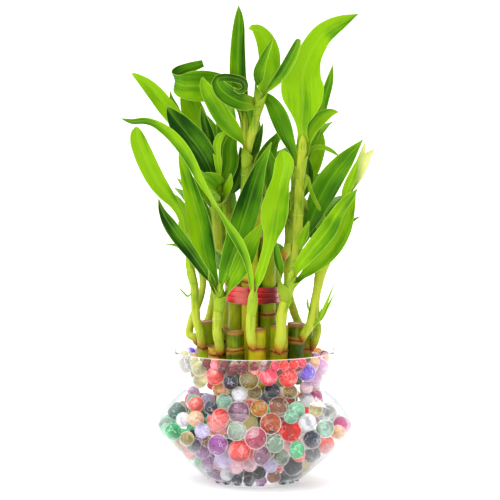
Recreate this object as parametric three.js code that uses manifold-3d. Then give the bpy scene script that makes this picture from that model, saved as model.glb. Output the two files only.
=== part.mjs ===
// Two-tier lucky bamboo in a glass bowl of gel beads.
// Millimetres, +Z up. The origin is the middle of the bowl's foot, and -Y is the front.

import * as THREE from 'three';
import { mergeVertices } from 'three/addons/utils/BufferGeometryUtils.js';
import Module from 'manifold-3d';

const wasm = await Module();
wasm.setup();

// Driving dimensions

const wall = 2;
const bowlSides = 24;
const touchGap = 0.3;

const beadRadius = 6;
const beadGap = 0.6;
const beadSpacing = 1.34;
const beadRings = [10.4, 20.8, 31.2, 41.6, 52, 61.4];
const bedTop = 64.5;
const topBeads = 8;
const topBeadRadius = 3.4;
const topBeadRing = 19.2;

const caneSides = 8;
const nodeBump = 0.35;
const outerCaneRadius = 5.1;
const outerFootRing = 26;
const outerTopRing = 28;
const outerFootZ = 57;
const ringRefZ = 88;
const innerCaneRadius = 4.7;
const innerRing = 10.2;
const innerFootZ = 16;
const wellRadius = 15.3;

const ribbonZ = 104.6;
const ribbonHeight = 8.6;
const ribbonInner = 15.3;
const ribbonOuter = 16.1;

const shootGap = 0.15;
const bladeThickness = 0.7;
const ribThickness = 0.15;
const leastHalfWidth = 0.35;
const stemSides = 6;
const stemStep = 20;
const bladeStep = 20;
const usualFold = 18;
const seatSamples = 60;
const footTurn = [1.7, 0.4];
const footRise = [3.5, 3.6];
const seamTolerance = 0.06;
const bedTolerance = 0.3;

// Materials

const finish = (color, roughness) => new THREE.MeshStandardMaterial({ color, roughness, metalness: 0 });
const glassFinish = new THREE.MeshStandardMaterial({
  color: 0xeaf2f2, roughness: 0.05, metalness: 0, transparent: true, opacity: 0.35,
});
const beadFinish = finish(0xc98f8a, 0.2);
const caneFinish = finish(0x7f9a2c, 0.45);
const leafFinish = finish(0x5fae1c, 0.4);
const ribbonFinish = finish(0xb3121f, 0.25);

// Solids

// A geometry's merged vertices and whole faces as a solid, with the faces outward.
function solidOf(geometry) {
  const bare = geometry.clone();
  for (const name of Object.keys(bare.attributes)) {
    if (name !== 'position') bare.deleteAttribute(name);
  }
  const merged = mergeVertices(bare, 1e-4);
  const places = merged.attributes.position.array;
  const corners = merged.index.array;
  const faces = [];
  let volume = 0;
  for (let i = 0; i < corners.length; i += 3) {
    const [a, b, c] = [corners[i], corners[i + 1], corners[i + 2]];
    if (a === b || b === c || c === a) continue;
    faces.push([a, b, c]);
    const [p, q, r] = [a, b, c].map((v) => new THREE.Vector3().fromArray(places, 3 * v));
    volume += p.dot(q.cross(r));
  }
  const outward = volume < 0 ? faces.map(([a, b, c]) => [a, c, b]) : faces;
  return new wasm.Manifold(new wasm.Mesh({
    numProp: 3,
    vertProperties: new Float32Array(places),
    triVerts: new Uint32Array(outward.flat()),
  }));
}

function geometryOf(solid) {
  const mesh = solid.getMesh();
  const geometry = new THREE.BufferGeometry();
  geometry.setAttribute('position', new THREE.Float32BufferAttribute(mesh.vertProperties, 3));
  geometry.setIndex(new THREE.BufferAttribute(mesh.triVerts, 1));
  geometry.computeVertexNormals();
  return geometry;
}

const fused = (geometries) => wasm.Manifold.union(geometries.map(solidOf)).simplify(seamTolerance);

// Joins rings of points into one closed skin. mirrored names the ring steps that split the other way.
function loft(rings, mirrored = []) {
  const count = rings[0].length;
  const points = [...rings.flat(), middle(rings[0]), middle(rings.at(-1))];
  const faces = [];
  for (let i = 0; i < rings.length - 1; i += 1) {
    for (let j = 0; j < count; j += 1) {
      const k = (j + 1) % count;
      const [a, b, c, d] = [i * count + j, i * count + k, (i + 1) * count + k, (i + 1) * count + j];
      if (mirrored.includes(j)) faces.push([a, b, d], [b, c, d]);
      else faces.push([a, b, c], [a, c, d]);
    }
  }
  const [first, last] = [points.length - 2, points.length - 1];
  const top = (rings.length - 1) * count;
  for (let j = 0; j < count; j += 1) {
    const k = (j + 1) % count;
    faces.push([k, j, first], [top + j, top + k, last]);
  }
  const geometry = new THREE.BufferGeometry();
  geometry.setAttribute('position', new THREE.Float32BufferAttribute(points.flatMap((p) => p.toArray()), 3));
  geometry.setIndex(faces.flat());
  return geometry;
}

function middle(ring) {
  const sum = ring.reduce((total, p) => total.add(p), new THREE.Vector3());
  return sum.divideScalar(ring.length);
}

const at = (x, y, z) => new THREE.Vector3(x, y, z);
const curveOf = (points) => new THREE.CatmullRomCurve3(points, false, 'centripetal');
const mix = (a, b, t) => a + (b - a) * t;

// A plan direction: 0 faces the front, and 90 the right.
function planDirection(degrees) {
  const turn = THREE.MathUtils.degToRad(degrees);
  return at(Math.sin(turn), -Math.cos(turn), 0);
}

function lathe(profile, sides) {
  const outline = profile.map(([radius, z]) => new THREE.Vector2(radius, z));
  const geometry = new THREE.LatheGeometry(outline, sides);
  geometry.rotateX(Math.PI / 2);
  return geometry;
}

// Bowl

const bowlOutline = [
  [22, 0], [27.6, 3.2], [33.8, 8.4], [46.4, 19.8], [53.6, 27], [55, 30.5], [53.4, 34.6],
  [46.8, 43.8], [40.4, 49.4], [37.8, 52.4], [38.6, 56], [41.4, 60.2], [43.5, 66], [44.5, 73.6],
];
const rimRadius = 44.5;
const rimTop = 74;
const floorZ = 4;
const floorCorner = 6;

// The outline moved in by a distance.
function insetOutline(distance) {
  const inset = [];
  for (let i = 1; i < bowlOutline.length; i += 1) {
    const [r0, z0] = bowlOutline[i - 1];
    const [r2, z2] = bowlOutline[Math.min(i + 1, bowlOutline.length - 1)];
    const along = new THREE.Vector2(r2 - r0, z2 - z0).normalize();
    const [r, z] = bowlOutline[i];
    inset.push([r - along.y * distance, z + along.x * distance]);
  }
  return inset;
}

const innerOutline = insetOutline(wall).filter(([, z]) => z > floorZ);
const floorRadius = innerOutline[0][0] - floorCorner;

function glassBowl() {
  const rim = [[rimRadius - wall / 4, rimTop], [rimRadius - (3 * wall) / 4, rimTop]];
  const inner = [...innerOutline].reverse();
  return lathe([[0, 0], ...bowlOutline, ...rim, ...inner, [floorRadius, floorZ], [0, floorZ]], bowlSides);
}

// Distance in the radial plane from a point to the glass inside.
function clearance(radius, z) {
  const outline = [[0, floorZ], [floorRadius, floorZ], ...innerOutline];
  let least = Infinity;
  for (let i = 1; i < outline.length; i += 1) {
    const a = at(outline[i - 1][0], outline[i - 1][1], 0);
    const b = at(outline[i][0], outline[i][1], 0);
    const near = new THREE.Line3(a, b).closestPointToPoint(at(radius, z, 0), true, at(0, 0, 0));
    least = Math.min(least, near.distanceTo(at(radius, z, 0)));
  }
  return least;
}

// The widest ring at a height whose beads still clear the glass.
function beadRingRadius(z) {
  const step = 0.1;
  let radius = 20;
  while (clearance(radius + step, z) > beadRadius + beadGap && radius < 60) radius += step;
  return radius;
}

// Canes

// turn is the plan direction, top and node are heights.
const outerCanes = [
  { turn: 3, top: 88.5, node: 78 },
  { turn: 28.7, top: 89.5, node: 76 },
  { turn: 54.4, top: 90, node: 81 },
  { turn: 80.1, top: 87.5, node: 74.5 },
  { turn: 105.8, top: 83, node: 74.5 },
  { turn: 131.5, top: 82, node: 75 },
  { turn: 157.2, top: 83, node: 74.5 },
  { turn: 182.9, top: 82, node: 76 },
  { turn: 208.6, top: 83, node: 75 },
  { turn: 234.3, top: 83, node: 74.5 },
  { turn: 260, top: 83, node: 74.5 },
  { turn: 285.7, top: 90, node: 76 },
  { turn: 311.4, top: 77.5, node: 73.5 },
  { turn: 337.1, top: 87, node: 76.5 },
];
const innerCanes = [
  { turn: 285, top: 130, node: 125 },
  { turn: 345, top: 140, node: 112 },
  { turn: 45, top: 136, node: 94 },
  { turn: 105, top: 128, node: 122 },
  { turn: 165, top: 144, node: 138 },
  { turn: 225, top: 134, node: 128 },
];
const middleCane = { turn: 0, top: 158, node: 150 };

// The middle of an outer cane at a height: the ring opens a little towards its top.
function outerCanePlace(cane, z) {
  const ring = mix(outerFootRing, outerTopRing, (z - outerFootZ) / (ringRefZ - outerFootZ));
  return planDirection(cane.turn).multiplyScalar(ring).setZ(z);
}

function innerCanePlace(cane, z) {
  const ring = cane === middleCane ? 0 : innerRing;
  return planDirection(cane.turn).multiplyScalar(ring).setZ(z);
}

// A cane in its own frame: standing on the origin, with a node ring and a flat cut top.
function caneGeometry(radius, length, nodeZ) {
  return lathe([
    [0, 0], [radius - 0.2, 0], [radius - 0.1, nodeZ - 1.3], [radius + nodeBump, nodeZ],
    [radius - 0.1, nodeZ + 1.3], [radius, length], [0, length],
  ], caneSides);
}

function placeCane(mesh, foot, top) {
  mesh.position.copy(foot);
  mesh.quaternion.setFromUnitVectors(at(0, 0, 1), top.clone().sub(foot).normalize());
  return mesh;
}

function outerCaneMesh(cane, index) {
  const foot = outerCanePlace(cane, outerFootZ);
  const top = outerCanePlace(cane, cane.top);
  const geometry = caneGeometry(outerCaneRadius, foot.distanceTo(top), cane.node - outerFootZ);
  const mesh = new THREE.Mesh(geometry, caneFinish);
  mesh.name = `cane_outer_${index + 1}`;
  return placeCane(mesh, foot, top);
}

function innerCaneMesh(cane, name) {
  const foot = innerCanePlace(cane, innerFootZ);
  const top = innerCanePlace(cane, cane.top);
  const geometry = caneGeometry(innerCaneRadius, cane.top - innerFootZ, cane.node - innerFootZ);
  const mesh = new THREE.Mesh(geometry, caneFinish);
  mesh.name = name;
  return placeCane(mesh, foot, top);
}

// Bead bed

// One bead with few faces, an axis of it pointing out of the bowl.
function bead(radius, place) {
  const geometry = new THREE.IcosahedronGeometry(radius, 0);
  const outward = at(place.x, place.y, 0).normalize();
  geometry.applyQuaternion(new THREE.Quaternion().setFromUnitVectors(at(0, 0, 1), outward));
  geometry.translate(place.x, place.y, place.z);
  return geometry;
}

// A ring of beads, every second ring turned by half a bead.
function beadRing(radius, z, ring) {
  const count = Math.floor((2 * Math.PI * radius) / (2 * beadRadius * beadSpacing));
  return Array.from({ length: count }, (_, i) => {
    const turn = (360 * (i + (ring % 2) / 2)) / count;
    return bead(beadRadius, planDirection(turn).multiplyScalar(radius).setZ(z));
  });
}

// The core that the outer beads are half sunk in.
function bedCore(radii) {
  const foot = floorZ + touchGap;
  const profile = [[0, foot], [radii[0] - 4, foot], [radii[0], beadRings[0]]];
  for (let i = 1; i < radii.length; i += 1) profile.push([radii[i] - 0.6, beadRings[i]]);
  profile.push([radii.at(-1) - 1.5, bedTop], [0, bedTop]);
  return lathe(profile, 14);
}

// A plain hole along an outer cane.
function caneHole(cane) {
  const radius = outerCaneRadius + touchGap;
  const hole = new THREE.Mesh(lathe([[0, 0], [radius, 0], [radius, 30], [0, 30]], 12));
  placeCane(hole, outerCanePlace(cane, outerFootZ - touchGap), outerCanePlace(cane, cane.top));
  hole.updateMatrixWorld();
  return solidOf(hole.geometry.applyMatrix4(hole.matrixWorld));
}

// The bed is one body: what the holes cut loose is left out.
function beadBed() {
  const radii = beadRings.map(beadRingRadius);
  const parts = [bedCore(radii)];
  radii.forEach((radius, ring) => parts.push(...beadRing(radius, beadRings[ring], ring)));
  for (let i = 0; i < topBeads; i += 1) {
    const place = planDirection((360 * i) / topBeads).multiplyScalar(topBeadRing).setZ(bedTop);
    parts.push(bead(topBeadRadius, place));
  }
  const well = lathe([[0, 0], [wellRadius, 0], [wellRadius, 80], [0, 80]], 24);
  well.translate(0, 0, innerFootZ - touchGap);
  let bed = fused(parts).subtract(solidOf(well));
  for (const cane of outerCanes) bed = bed.subtract(caneHole(cane));
  const pieces = bed.decompose().sort((a, b) => b.volume() - a.volume());
  return geometryOf(pieces[0].simplify(bedTolerance));
}

// Ribbon

// A flat strap wound round the inner canes, with two soft folds along it.
function ribbonGeometry() {
  const [low, high] = [ribbonZ - ribbonHeight / 2, ribbonZ + ribbonHeight / 2];
  return lathe([
    [ribbonInner, low], [ribbonOuter, low], [ribbonOuter + 0.5, low + 2.2], [ribbonOuter, low + 4.1],
    [ribbonOuter + 0.4, low + 6.3], [ribbonOuter - 0.1, high], [ribbonInner, high], [ribbonInner, low],
  ], 16);
}

// Shoots

// A round stem along a curve, with a radius at each end and a narrower foot.
function stemGeometry(curve, footRadius, topRadius, footNarrowing = 0.6) {
  const length = curve.getLength();
  const steps = Math.max(2, Math.round(length / stemStep));
  const stations = [0, 3 / length, 8 / length];
  for (let i = 1; i <= steps; i += 1) stations.push(mix(8 / length, 1, i / steps));
  const rings = [];
  let across = at(1, 0, 0);
  stations.forEach((t, station) => {
    const tangent = curve.getTangentAt(t);
    across = across.clone().addScaledVector(tangent, -across.dot(tangent)).normalize();
    const over = tangent.clone().cross(across);
    const centre = curve.getPointAt(t);
    const radius = mix(footRadius, topRadius, t) * mix(footNarrowing, 1, Math.min(station / 2, 1));
    rings.push(Array.from({ length: stemSides }, (_, j) => {
      const turn = (2 * Math.PI * j) / stemSides;
      const out = across.clone().multiplyScalar(Math.cos(turn)).addScaledVector(over, Math.sin(turn));
      return centre.clone().addScaledVector(out, radius);
    }));
  });
  return loft(rings);
}

// A setting along a leaf: one number, or pairs of a share of its length and a number.
function along(setting, t) {
  if (typeof setting === 'number') return setting;
  const next = Math.max(1, setting.findIndex(([share]) => share >= t));
  const [[t0, before], [t1, after]] = [setting[next - 1], setting[next]];
  return mix(before, after, (t - t0) / (t1 - t0));
}

// Half the blade's width at a share of its length, read between the spine's stations.
function halfWidth(spine, curve, t) {
  const place = curve.getUtoTmapping(t) * (spine.length - 1);
  const before = Math.min(Math.floor(place), spine.length - 2);
  return Math.max(leastHalfWidth, mix(spine[before][3], spine[before + 1][3], place - before));
}

// A folded blade along its spine. face is the plan direction that its broad side turns to, roll turns it
// about its own length, and fold lifts its edges towards the face.
function bladeGeometry(leaf, spine) {
  const curve = curveOf(spine.map(([x, y, z]) => at(x, y, z)));
  const steps = leaf.steps ?? Math.max(3, Math.min(7, Math.round(curve.getLength() / bladeStep)));
  const rings = [];
  let lastSide = null;
  for (let i = 0; i <= steps; i += 1) {
    const t = i / steps;
    const tangent = curve.getTangentAt(t);
    const side = tangent.clone().cross(planDirection(along(leaf.face ?? 0, t))).normalize();
    if (lastSide && side.dot(lastSide) < 0) side.negate();
    lastSide = side.clone();
    side.applyAxisAngle(tangent, THREE.MathUtils.degToRad(along(leaf.roll ?? 0, t)));
    const up = side.clone().cross(tangent);
    const centre = curve.getPointAt(t);
    const half = halfWidth(spine, curve, t);
    const lift = half * Math.tan(THREE.MathUtils.degToRad(along(leaf.fold ?? usualFold, t)));
    const rib = (height) => centre.clone().addScaledVector(up, height);
    const edge = (sign, height) => rib(lift + height).addScaledVector(side, sign * half);
    const thin = bladeThickness / 2;
    const thick = thin + ribThickness;
    rings.push([edge(-1, thin), rib(thick), edge(1, thin), edge(1, -thin), rib(-thick), edge(-1, -thin)]);
  }
  return loft(rings, [3, 4]);
}

// Starts a leaf's spine on the nearest stem.
function seatOnStem(spine, stems) {
  const start = at(...spine[0]);
  const places = stems.flatMap((curve) => curve.getSpacedPoints(seatSamples));
  const nearest = places.reduce((best, p) => (p.distanceTo(start) < best.distanceTo(start) ? p : best));
  return [[...nearest.toArray(), spine[0][3]], ...spine.slice(1)];
}

// A leaf that springs from a stem and arches over, by its direction, length, rise and droop. Its half width
// grows to w and then runs out to a point.
function arch(start, turn, length, rise, droop, w) {
  const shares = [0.42, 0.75, 1, 0.72, 0.04];
  const steps = shares.length - 1;
  const out = planDirection(turn);
  let place = at(...start);
  const spine = [[...start, w * shares[0]]];
  for (let i = 0; i < steps; i += 1) {
    const slope = THREE.MathUtils.degToRad(rise - (droop * (i + 0.5)) / steps);
    const stride = length / steps;
    place = place.clone().addScaledVector(out, stride * Math.cos(slope));
    place.z += stride * Math.sin(slope);
    spine.push([...place.toArray(), w * shares[i + 1]]);
  }
  return { spine, face: turn + 180 };
}

// Where a shoot leaves its cane: just clear of the node ring, then rising close along the cane.
function shootFoot(shoot) {
  const inner = shoot.cane.ring === 'inner';
  const cane = inner ? [...innerCanes, middleCane][shoot.cane.index] : outerCanes[shoot.cane.index];
  const z = shoot.seatZ;
  const axis = inner ? innerCanePlace(cane, z) : outerCanePlace(cane, z);
  const radius = (inner ? innerCaneRadius : outerCaneRadius) + nodeBump + touchGap + shootGap;
  const out = planDirection(shoot.toward);
  const start = axis.clone().addScaledVector(out, radius);
  const risen = ([reach, rise]) => start.clone().addScaledVector(out, reach).setZ(z + rise);
  return [start, risen(footTurn), risen(footRise)];
}

function shootGeometry(shoot) {
  const stem = curveOf([...shootFoot(shoot), ...shoot.stem.map((p) => at(...p))]);
  const branches = (shoot.branches ?? []).map(({ path }) => curveOf(path.map((p) => at(...p))));
  const parts = [stemGeometry(stem, shoot.foot, shoot.top)];
  branches.forEach((curve, i) => {
    parts.push(stemGeometry(curve, shoot.branches[i].foot, shoot.branches[i].top, 1));
  });
  for (const leaf of shoot.leaves) {
    parts.push(bladeGeometry(leaf, seatOnStem(leaf.spine, [stem, ...branches])));
  }
  return geometryOf(fused(parts));
}

const outerFoot = (index) => ({ ring: 'outer', index });
const innerFoot = (index) => ({ ring: 'inner', index });

const shoots = [
  {
    name: 'shoot_left_front', cane: outerFoot(11), seatZ: 76, toward: -20,
    foot: 2.5, top: 2.2,
    stem: [[-29.4, -17.5, 83.7], [-31.6, -18.5, 92], [-32.4, -19.5, 102], [-32.9, -20, 111.3],
      [-34.8, -20, 120.6], [-36.4, -20.5, 128.3]],
    leaves: [
      { spine: [[-35.4, -20, 121.7, 2.3], [-39.8, -26, 149.5, 2.1], [-43.4, -26, 156.1, 2.7],
        [-52.7, -30.5, 168.9, 4.9], [-56.9, -33, 177.2, 5.2], [-62.5, -38.5, 192.2, 4.3],
        [-62.9, -40, 198.5, 0.9]], fold: 14 },
      { spine: [[-35.9, -19.5, 127.1, 1.6], [-37.2, -12.5, 145, 2], [-38.8, -12.5, 152.7, 2],
        [-42.3, -14, 158.3, 1.3], [-45, -16.5, 161, 0.3]] },
      { spine: [[-33.7, -19, 118.3, 1.6], [-36.7, -23, 135.1, 2.5], [-41.2, -25, 146.2, 0.3]] },
      { spine: [[-33.2, -20.5, 108.7, 0.9], [-36.2, -21, 104.9, 1], [-41.3, -22, 110.5, 0.2]] },
    ],
  },
  {
    name: 'shoot_left_centre', cane: outerFoot(12), seatZ: 73.5, toward: 12,
    foot: 2.8, top: 2.7,
    stem: [[-20.3, -29.5, 88], [-19.9, -30, 95.6], [-19.2, -30.5, 103.3], [-18.8, -31, 109.3],
      [-18.7, -31, 113.7]],
    leaves: [
      { spine: [[-19.2, -31, 104.4, 1.9], [-22.2, -32.5, 112.2, 2], [-46, -39.5, 147, 3.5],
        [-51.4, -41, 160, 0.3]], fold: 26 },
      { spine: [[-19.5, -29.5, 104.3, 1.7], [-25.2, -24.5, 122.7, 4.7], [-29.6, -20.5, 143, 6.3],
        [-35.1, -18, 164.1, 4.1], [-40.9, -17, 184.3, 0.2]], fold: 16 },
      { spine: [[-18.8, -31, 104.4, 1.7], [-14.9, -31.5, 120.8, 4.3], [-5.2, -29, 149.8, 6.9],
        [0.5, -27, 168.6, 4.7], [9.1, -24, 189.4, 0.2]], fold: 16 },
      { spine: [[-18.4, -31.8, 104, 1.6], [-13.8, -34, 110.8, 2.5], [-5.5, -36, 127.7, 5.2],
        [-2.2, -35.5, 135.3, 4.6], [4, -34, 146.2, 0.3]], fold: 10 },
      { spine: [[-19.5, -31.5, 102.3, 1.3], [-22.7, -33, 109, 1.3], [-24.8, -34.5, 121.1, 0.2]] },
    ],
  },
  {
    name: 'shoot_centre_front', cane: outerFoot(0), seatZ: 78, toward: -25,
    foot: 2.7, top: 2.6,
    stem: [[-2.1, -35.5, 86.1], [-2.1, -36.5, 94.3], [-1.4, -37, 101.9], [-0.9, -37.4, 107.4],
      [-0.6, -38, 111.8]],
    leaves: [
      { spine: [[-1.3, -37.4, 102, 1.8], [-1.4, -39, 114.6, 1.8], [-6.5, -42, 133.5, 2.7],
        [-23.3, -45.5, 161.5, 1.7], [-38, -47.5, 187.4, 3.2], [-43.6, -48, 193.9, 3],
        [-54.2, -48.5, 201.2, 2], [-64.7, -48, 201.7, 1.5], [-70.9, -48, 203.5, 0.2]],
        roll: [[0, 0], [0.3, -25], [0.45, -60], [0.6, -20], [1, 20]], fold: 16, steps: 9 },
      { spine: [[-0.5, -37.6, 102, 1.8], [6.9, -41.8, 133.2, 2.9], [10.6, -42.8, 153.7, 7.4],
        [13.9, -40.5, 169.7, 4.9], [15.2, -38.5, 174.9, 5.2], [15.8, -36, 178.8, 5.1],
        [14.5, -32, 185.6, 0.6]], fold: [[0, 16], [0.4, 10], [0.9, 14], [1, 40]], steps: 9 },
    ],
  },
  {
    name: 'shoot_right_tall', cane: outerFoot(1), seatZ: 76, toward: 0,
    foot: 3, top: 2.5,
    stem: [[14.2, -33, 85.7], [14.5, -33.5, 95], [16.4, -33, 104.1], [18.8, -32.5, 113.8],
      [21.8, -30.5, 123.9], [22.9, -28.5, 135.1], [23.7, -26.5, 149], [24.3, -24.5, 163.5],
      [25.1, -23, 176.5], [25.9, -22, 187.3], [25.9, -22, 193.3]],
    branches: [
      { path: [[16.4, -33, 104.1], [18.8, -33.5, 113.9], [21.5, -33.5, 123.1]],
        foot: 3.3, top: 2.7 },
    ],
    leaves: [
      { spine: [[25.9, -22, 186.2, 2.3], [25.5, -22.8, 199.4, 3.5], [26.2, -23.8, 210.9, 10.1],
        [25.7, -24.4, 218, 11.6], [27, -25.4, 230, 9], [29.4, -26, 236, 6.9],
        [35.9, -26.4, 246.9, 5.8], [46.8, -25, 254.2, 3.6], [55.6, -23.5, 258.2, 0.2]],
        fold: 12, steps: 9 },
      { spine: [[25, -22.5, 174.3, 1.8], [13, -13, 203.2, 4.8], [9.2, -11.5, 210, 3.6],
        [5.4, -10.5, 213.5, 2], [3, -10, 212.9, 0.4]], fold: 20 },
      { spine: [[25.7, -22, 178.6, 1.6], [30.4, -18, 194.2, 3], [33.7, -16.5, 199.8, 3.8],
        [38.4, -15.5, 203.6, 3.1], [45.5, -14.5, 205.1, 0.2]], fold: 20 },
      { spine: [[23.2, -28, 133.4, 1.8], [26.8, -24, 138.5, 2.4], [30.6, -21, 146.4, 4.3],
        [38, -17.5, 163.5, 6.9], [49.3, -15, 179.2, 4.7], [58.8, -13, 190, 0.2]], fold: 14 },
      { spine: [[19.6, -33.5, 111.8, 2.2], [37.3, -36.5, 128.1, 4.5], [43.2, -36.8, 135.9, 5.1],
        [47.5, -36.2, 144, 4.6], [54.3, -33, 162.1, 0.2]], roll: [[0, -10], [1, 8]], fold: 16 },
      { spine: [[19, -34, 111.3, 2.5], [24.6, -38.5, 124.5, 3.4], [35.2, -42.5, 138.4, 4.8],
        [40.1, -42.5, 144.8, 4.6], [46.9, -39, 156.1, 3.1], [55.2, -36, 165, 0.2]],
        fold: [[0, 14], [0.7, 8], [0.8, 30], [1, 16]] },
      { spine: [[17.2, -33.5, 104.7, 1.4], [13.1, -35, 122.2, 2.7], [11.2, -36, 138, 0.2]] },
      { spine: [[22.6, -31, 125, 2.2], [24.4, -32.5, 133.3, 3], [29.2, -33, 147.5, 0.3]] },
      { spine: [[24.3, -25, 160.3, 1.6], [27.8, -26.5, 165.9, 1.1], [28.2, -27, 170.3, 0.8]] },
      { spine: [[15.3, -34.2, 95.1, 1.6], [19.8, -36, 105, 0.9]] },
      { spine: [[25.7, -23, 158, 1.6], [27.9, -19, 148.9, 2.7], [30.7, -17, 141.1, 3.3],
        [33.4, -16, 136.6, 2.2]] },
      { spine: [[24.6, -23, 167.2, 1.3], [27.9, -20.5, 170.9, 1.2], [38, -20, 146.8, 1.1],
        [39.3, -20, 140.8, 0.3]] },
    ],
  },
  {
    name: 'shoot_right', cane: outerFoot(2), seatZ: 81, toward: 40,
    foot: 2.6, top: 2.2,
    stem: [[27.5, -25.5, 85.8], [30.5, -27, 91.5], [32.1, -26, 99.5], [33.8, -26, 108.7],
      [35.9, -25.5, 116.8], [39.7, -24.5, 126.5], [43.6, -22.5, 137.2], [47.2, -20, 148.4],
      [49.4, -18.5, 156.5]],
    leaves: [
      { spine: [[48.9, -19, 153.8, 1.6], [57.3, -17.5, 175.3, 3.6], [64.9, -16.5, 185.1, 0.2]],
        fold: 24 },
      { spine: [[48.9, -18.5, 153.8, 1.4], [55.8, -15.5, 173.8, 2.3], [59.8, -14.5, 188.5, 0.2]],
        fold: 20 },
      { spine: [[48, -20, 151.2, 1.6], [51.8, -21, 167.6, 2.7], [56.4, -20, 180.9, 0.2]] },
      { spine: [[28.9, -25.5, 89.1, 1.1], [33.7, -28.5, 90.6, 1.2], [43.1, -31, 113.7, 0.2]] },
      { spine: [[31, -26.5, 94.1, 1.1], [35.3, -28, 93.2, 1.1], [43.1, -29, 107.5, 0.2]] },
      { spine: [[29.4, -25, 89, 1.6], [29.7, -27.5, 95.9, 1.6], [28.4, -29, 105, 0.2]] },
    ],
  },
  {
    name: 'shoot_far_right', cane: outerFoot(3), seatZ: 74.5, toward: 62,
    foot: 2.4, top: 1.9,
    stem: [[33.3, -9.6, 79.4], [34.9, -10, 84.9], [35.5, -10, 89.9]],
    leaves: [
      { spine: [[35.2, -10.2, 86.6, 1.9], [36.8, -11.5, 97.7, 0.2]] },
      { spine: [[34.7, -10.4, 83.9, 1.3], [33.5, -13.5, 95.8, 0.2]] },
    ],
  },
  {
    name: 'shoot_inner_left', cane: innerFoot(0), seatZ: 125, toward: -80,
    foot: 2.9, top: 2.4,
    stem: [[-19.6, -5.6, 131], [-20.4, -7, 140], [-21, -8, 152], [-21.6, -8.6, 164],
      [-21.4, -8.6, 172]],
    leaves: [
      { spine: [[-21.1, -9, 154.1, 2.2], [-21, -17.5, 164.6, 4.9], [-23.1, -20, 168.4, 4.6],
        [-28.6, -20, 171.4, 0.5]], fold: 24 },
      { spine: [[-21.4, -9.5, 159, 2], [-22.7, -12, 169.1, 3.5], [-26.5, -14.5, 179.2, 6.3],
        [-31.3, -16.5, 187, 7.2], [-42.2, -19, 200.8, 5.1], [-47.3, -19.5, 208.5, 0.4]], fold: 12 },
      { spine: [[-22.2, -7.5, 162.2, 2], [-26.1, -4.5, 178.5, 2.7], [-34.4, -2.5, 191, 4.2],
        [-53.9, -0.5, 214.1, 4.4], [-66.9, 0, 225.5, 0.7]], fold: 12 },
      { spine: [[-19.4, -10, 159.1, 1.4], [-18.6, -13, 167, 1.5], [-20.2, -15.5, 188.6, 2.2],
        [-18.3, -15.5, 192.4, 1.9], [-15, -15, 194, 0.4]], fold: 20 },
      { spine: [[-21.1, -8.5, 162.3, 1.6], [-23.5, -10, 185.4, 3.1], [-28.9, -12.5, 208.1, 0.3]],
        fold: 20 },
      { spine: [[-20.6, -7, 162.1, 1.6], [-22.8, -3, 175.6, 3.3], [-31.1, 1, 198, 6.3],
        [-35, 2, 207.9, 5.8], [-39.1, 3, 217.8, 0.4]], fold: 16 },
      { spine: [[-38.3, 1, 186.4, 2.2], [-40.8, 1.5, 196.3, 3.5], [-46.2, 2, 215.6, 0.2]] },
      { spine: [[-19.7, -8, 156.7, 2], [-13.2, -4, 176.8, 4.4], [-13.5, -3, 184.4, 4.1],
        [-10.2, -2, 194.3, 0.4]], fold: 22 },
      { spine: [[-21.7, -6, 149.9, 2.2], [-27.8, -1, 162.8, 4.2], [-32.2, 1, 175.3, 0.3]] },
      { spine: [[-19.4, -9.5, 153.5, 2.2], [-15.3, -12.5, 159.3, 3.1], [-12.9, -12.5, 171.6, 0.3]] },
    ],
  },
  {
    name: 'shoot_inner_top', cane: innerFoot(6), seatZ: 150, toward: -35,
    foot: 3, top: 3,
    stem: [[-5, -8.4, 157], [-4.7, -9.2, 165], [-4.3, -10, 176], [-3.9, -10.5, 184]],
    branches: [
      { path: [[-3.6, -10.4, 182.7], [-2, -12, 191.1], [0.5, -13.5, 200.5], [2.9, -15, 209.9]],
        foot: 2.7, top: 2.1 },
      { path: [[-4.4, -10.2, 182.7], [-5.2, -10, 192], [-5.5, -9.6, 200.8], [-5.8, -9.4, 205.2]],
        foot: 2.3, top: 1.9 },
    ],
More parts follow.
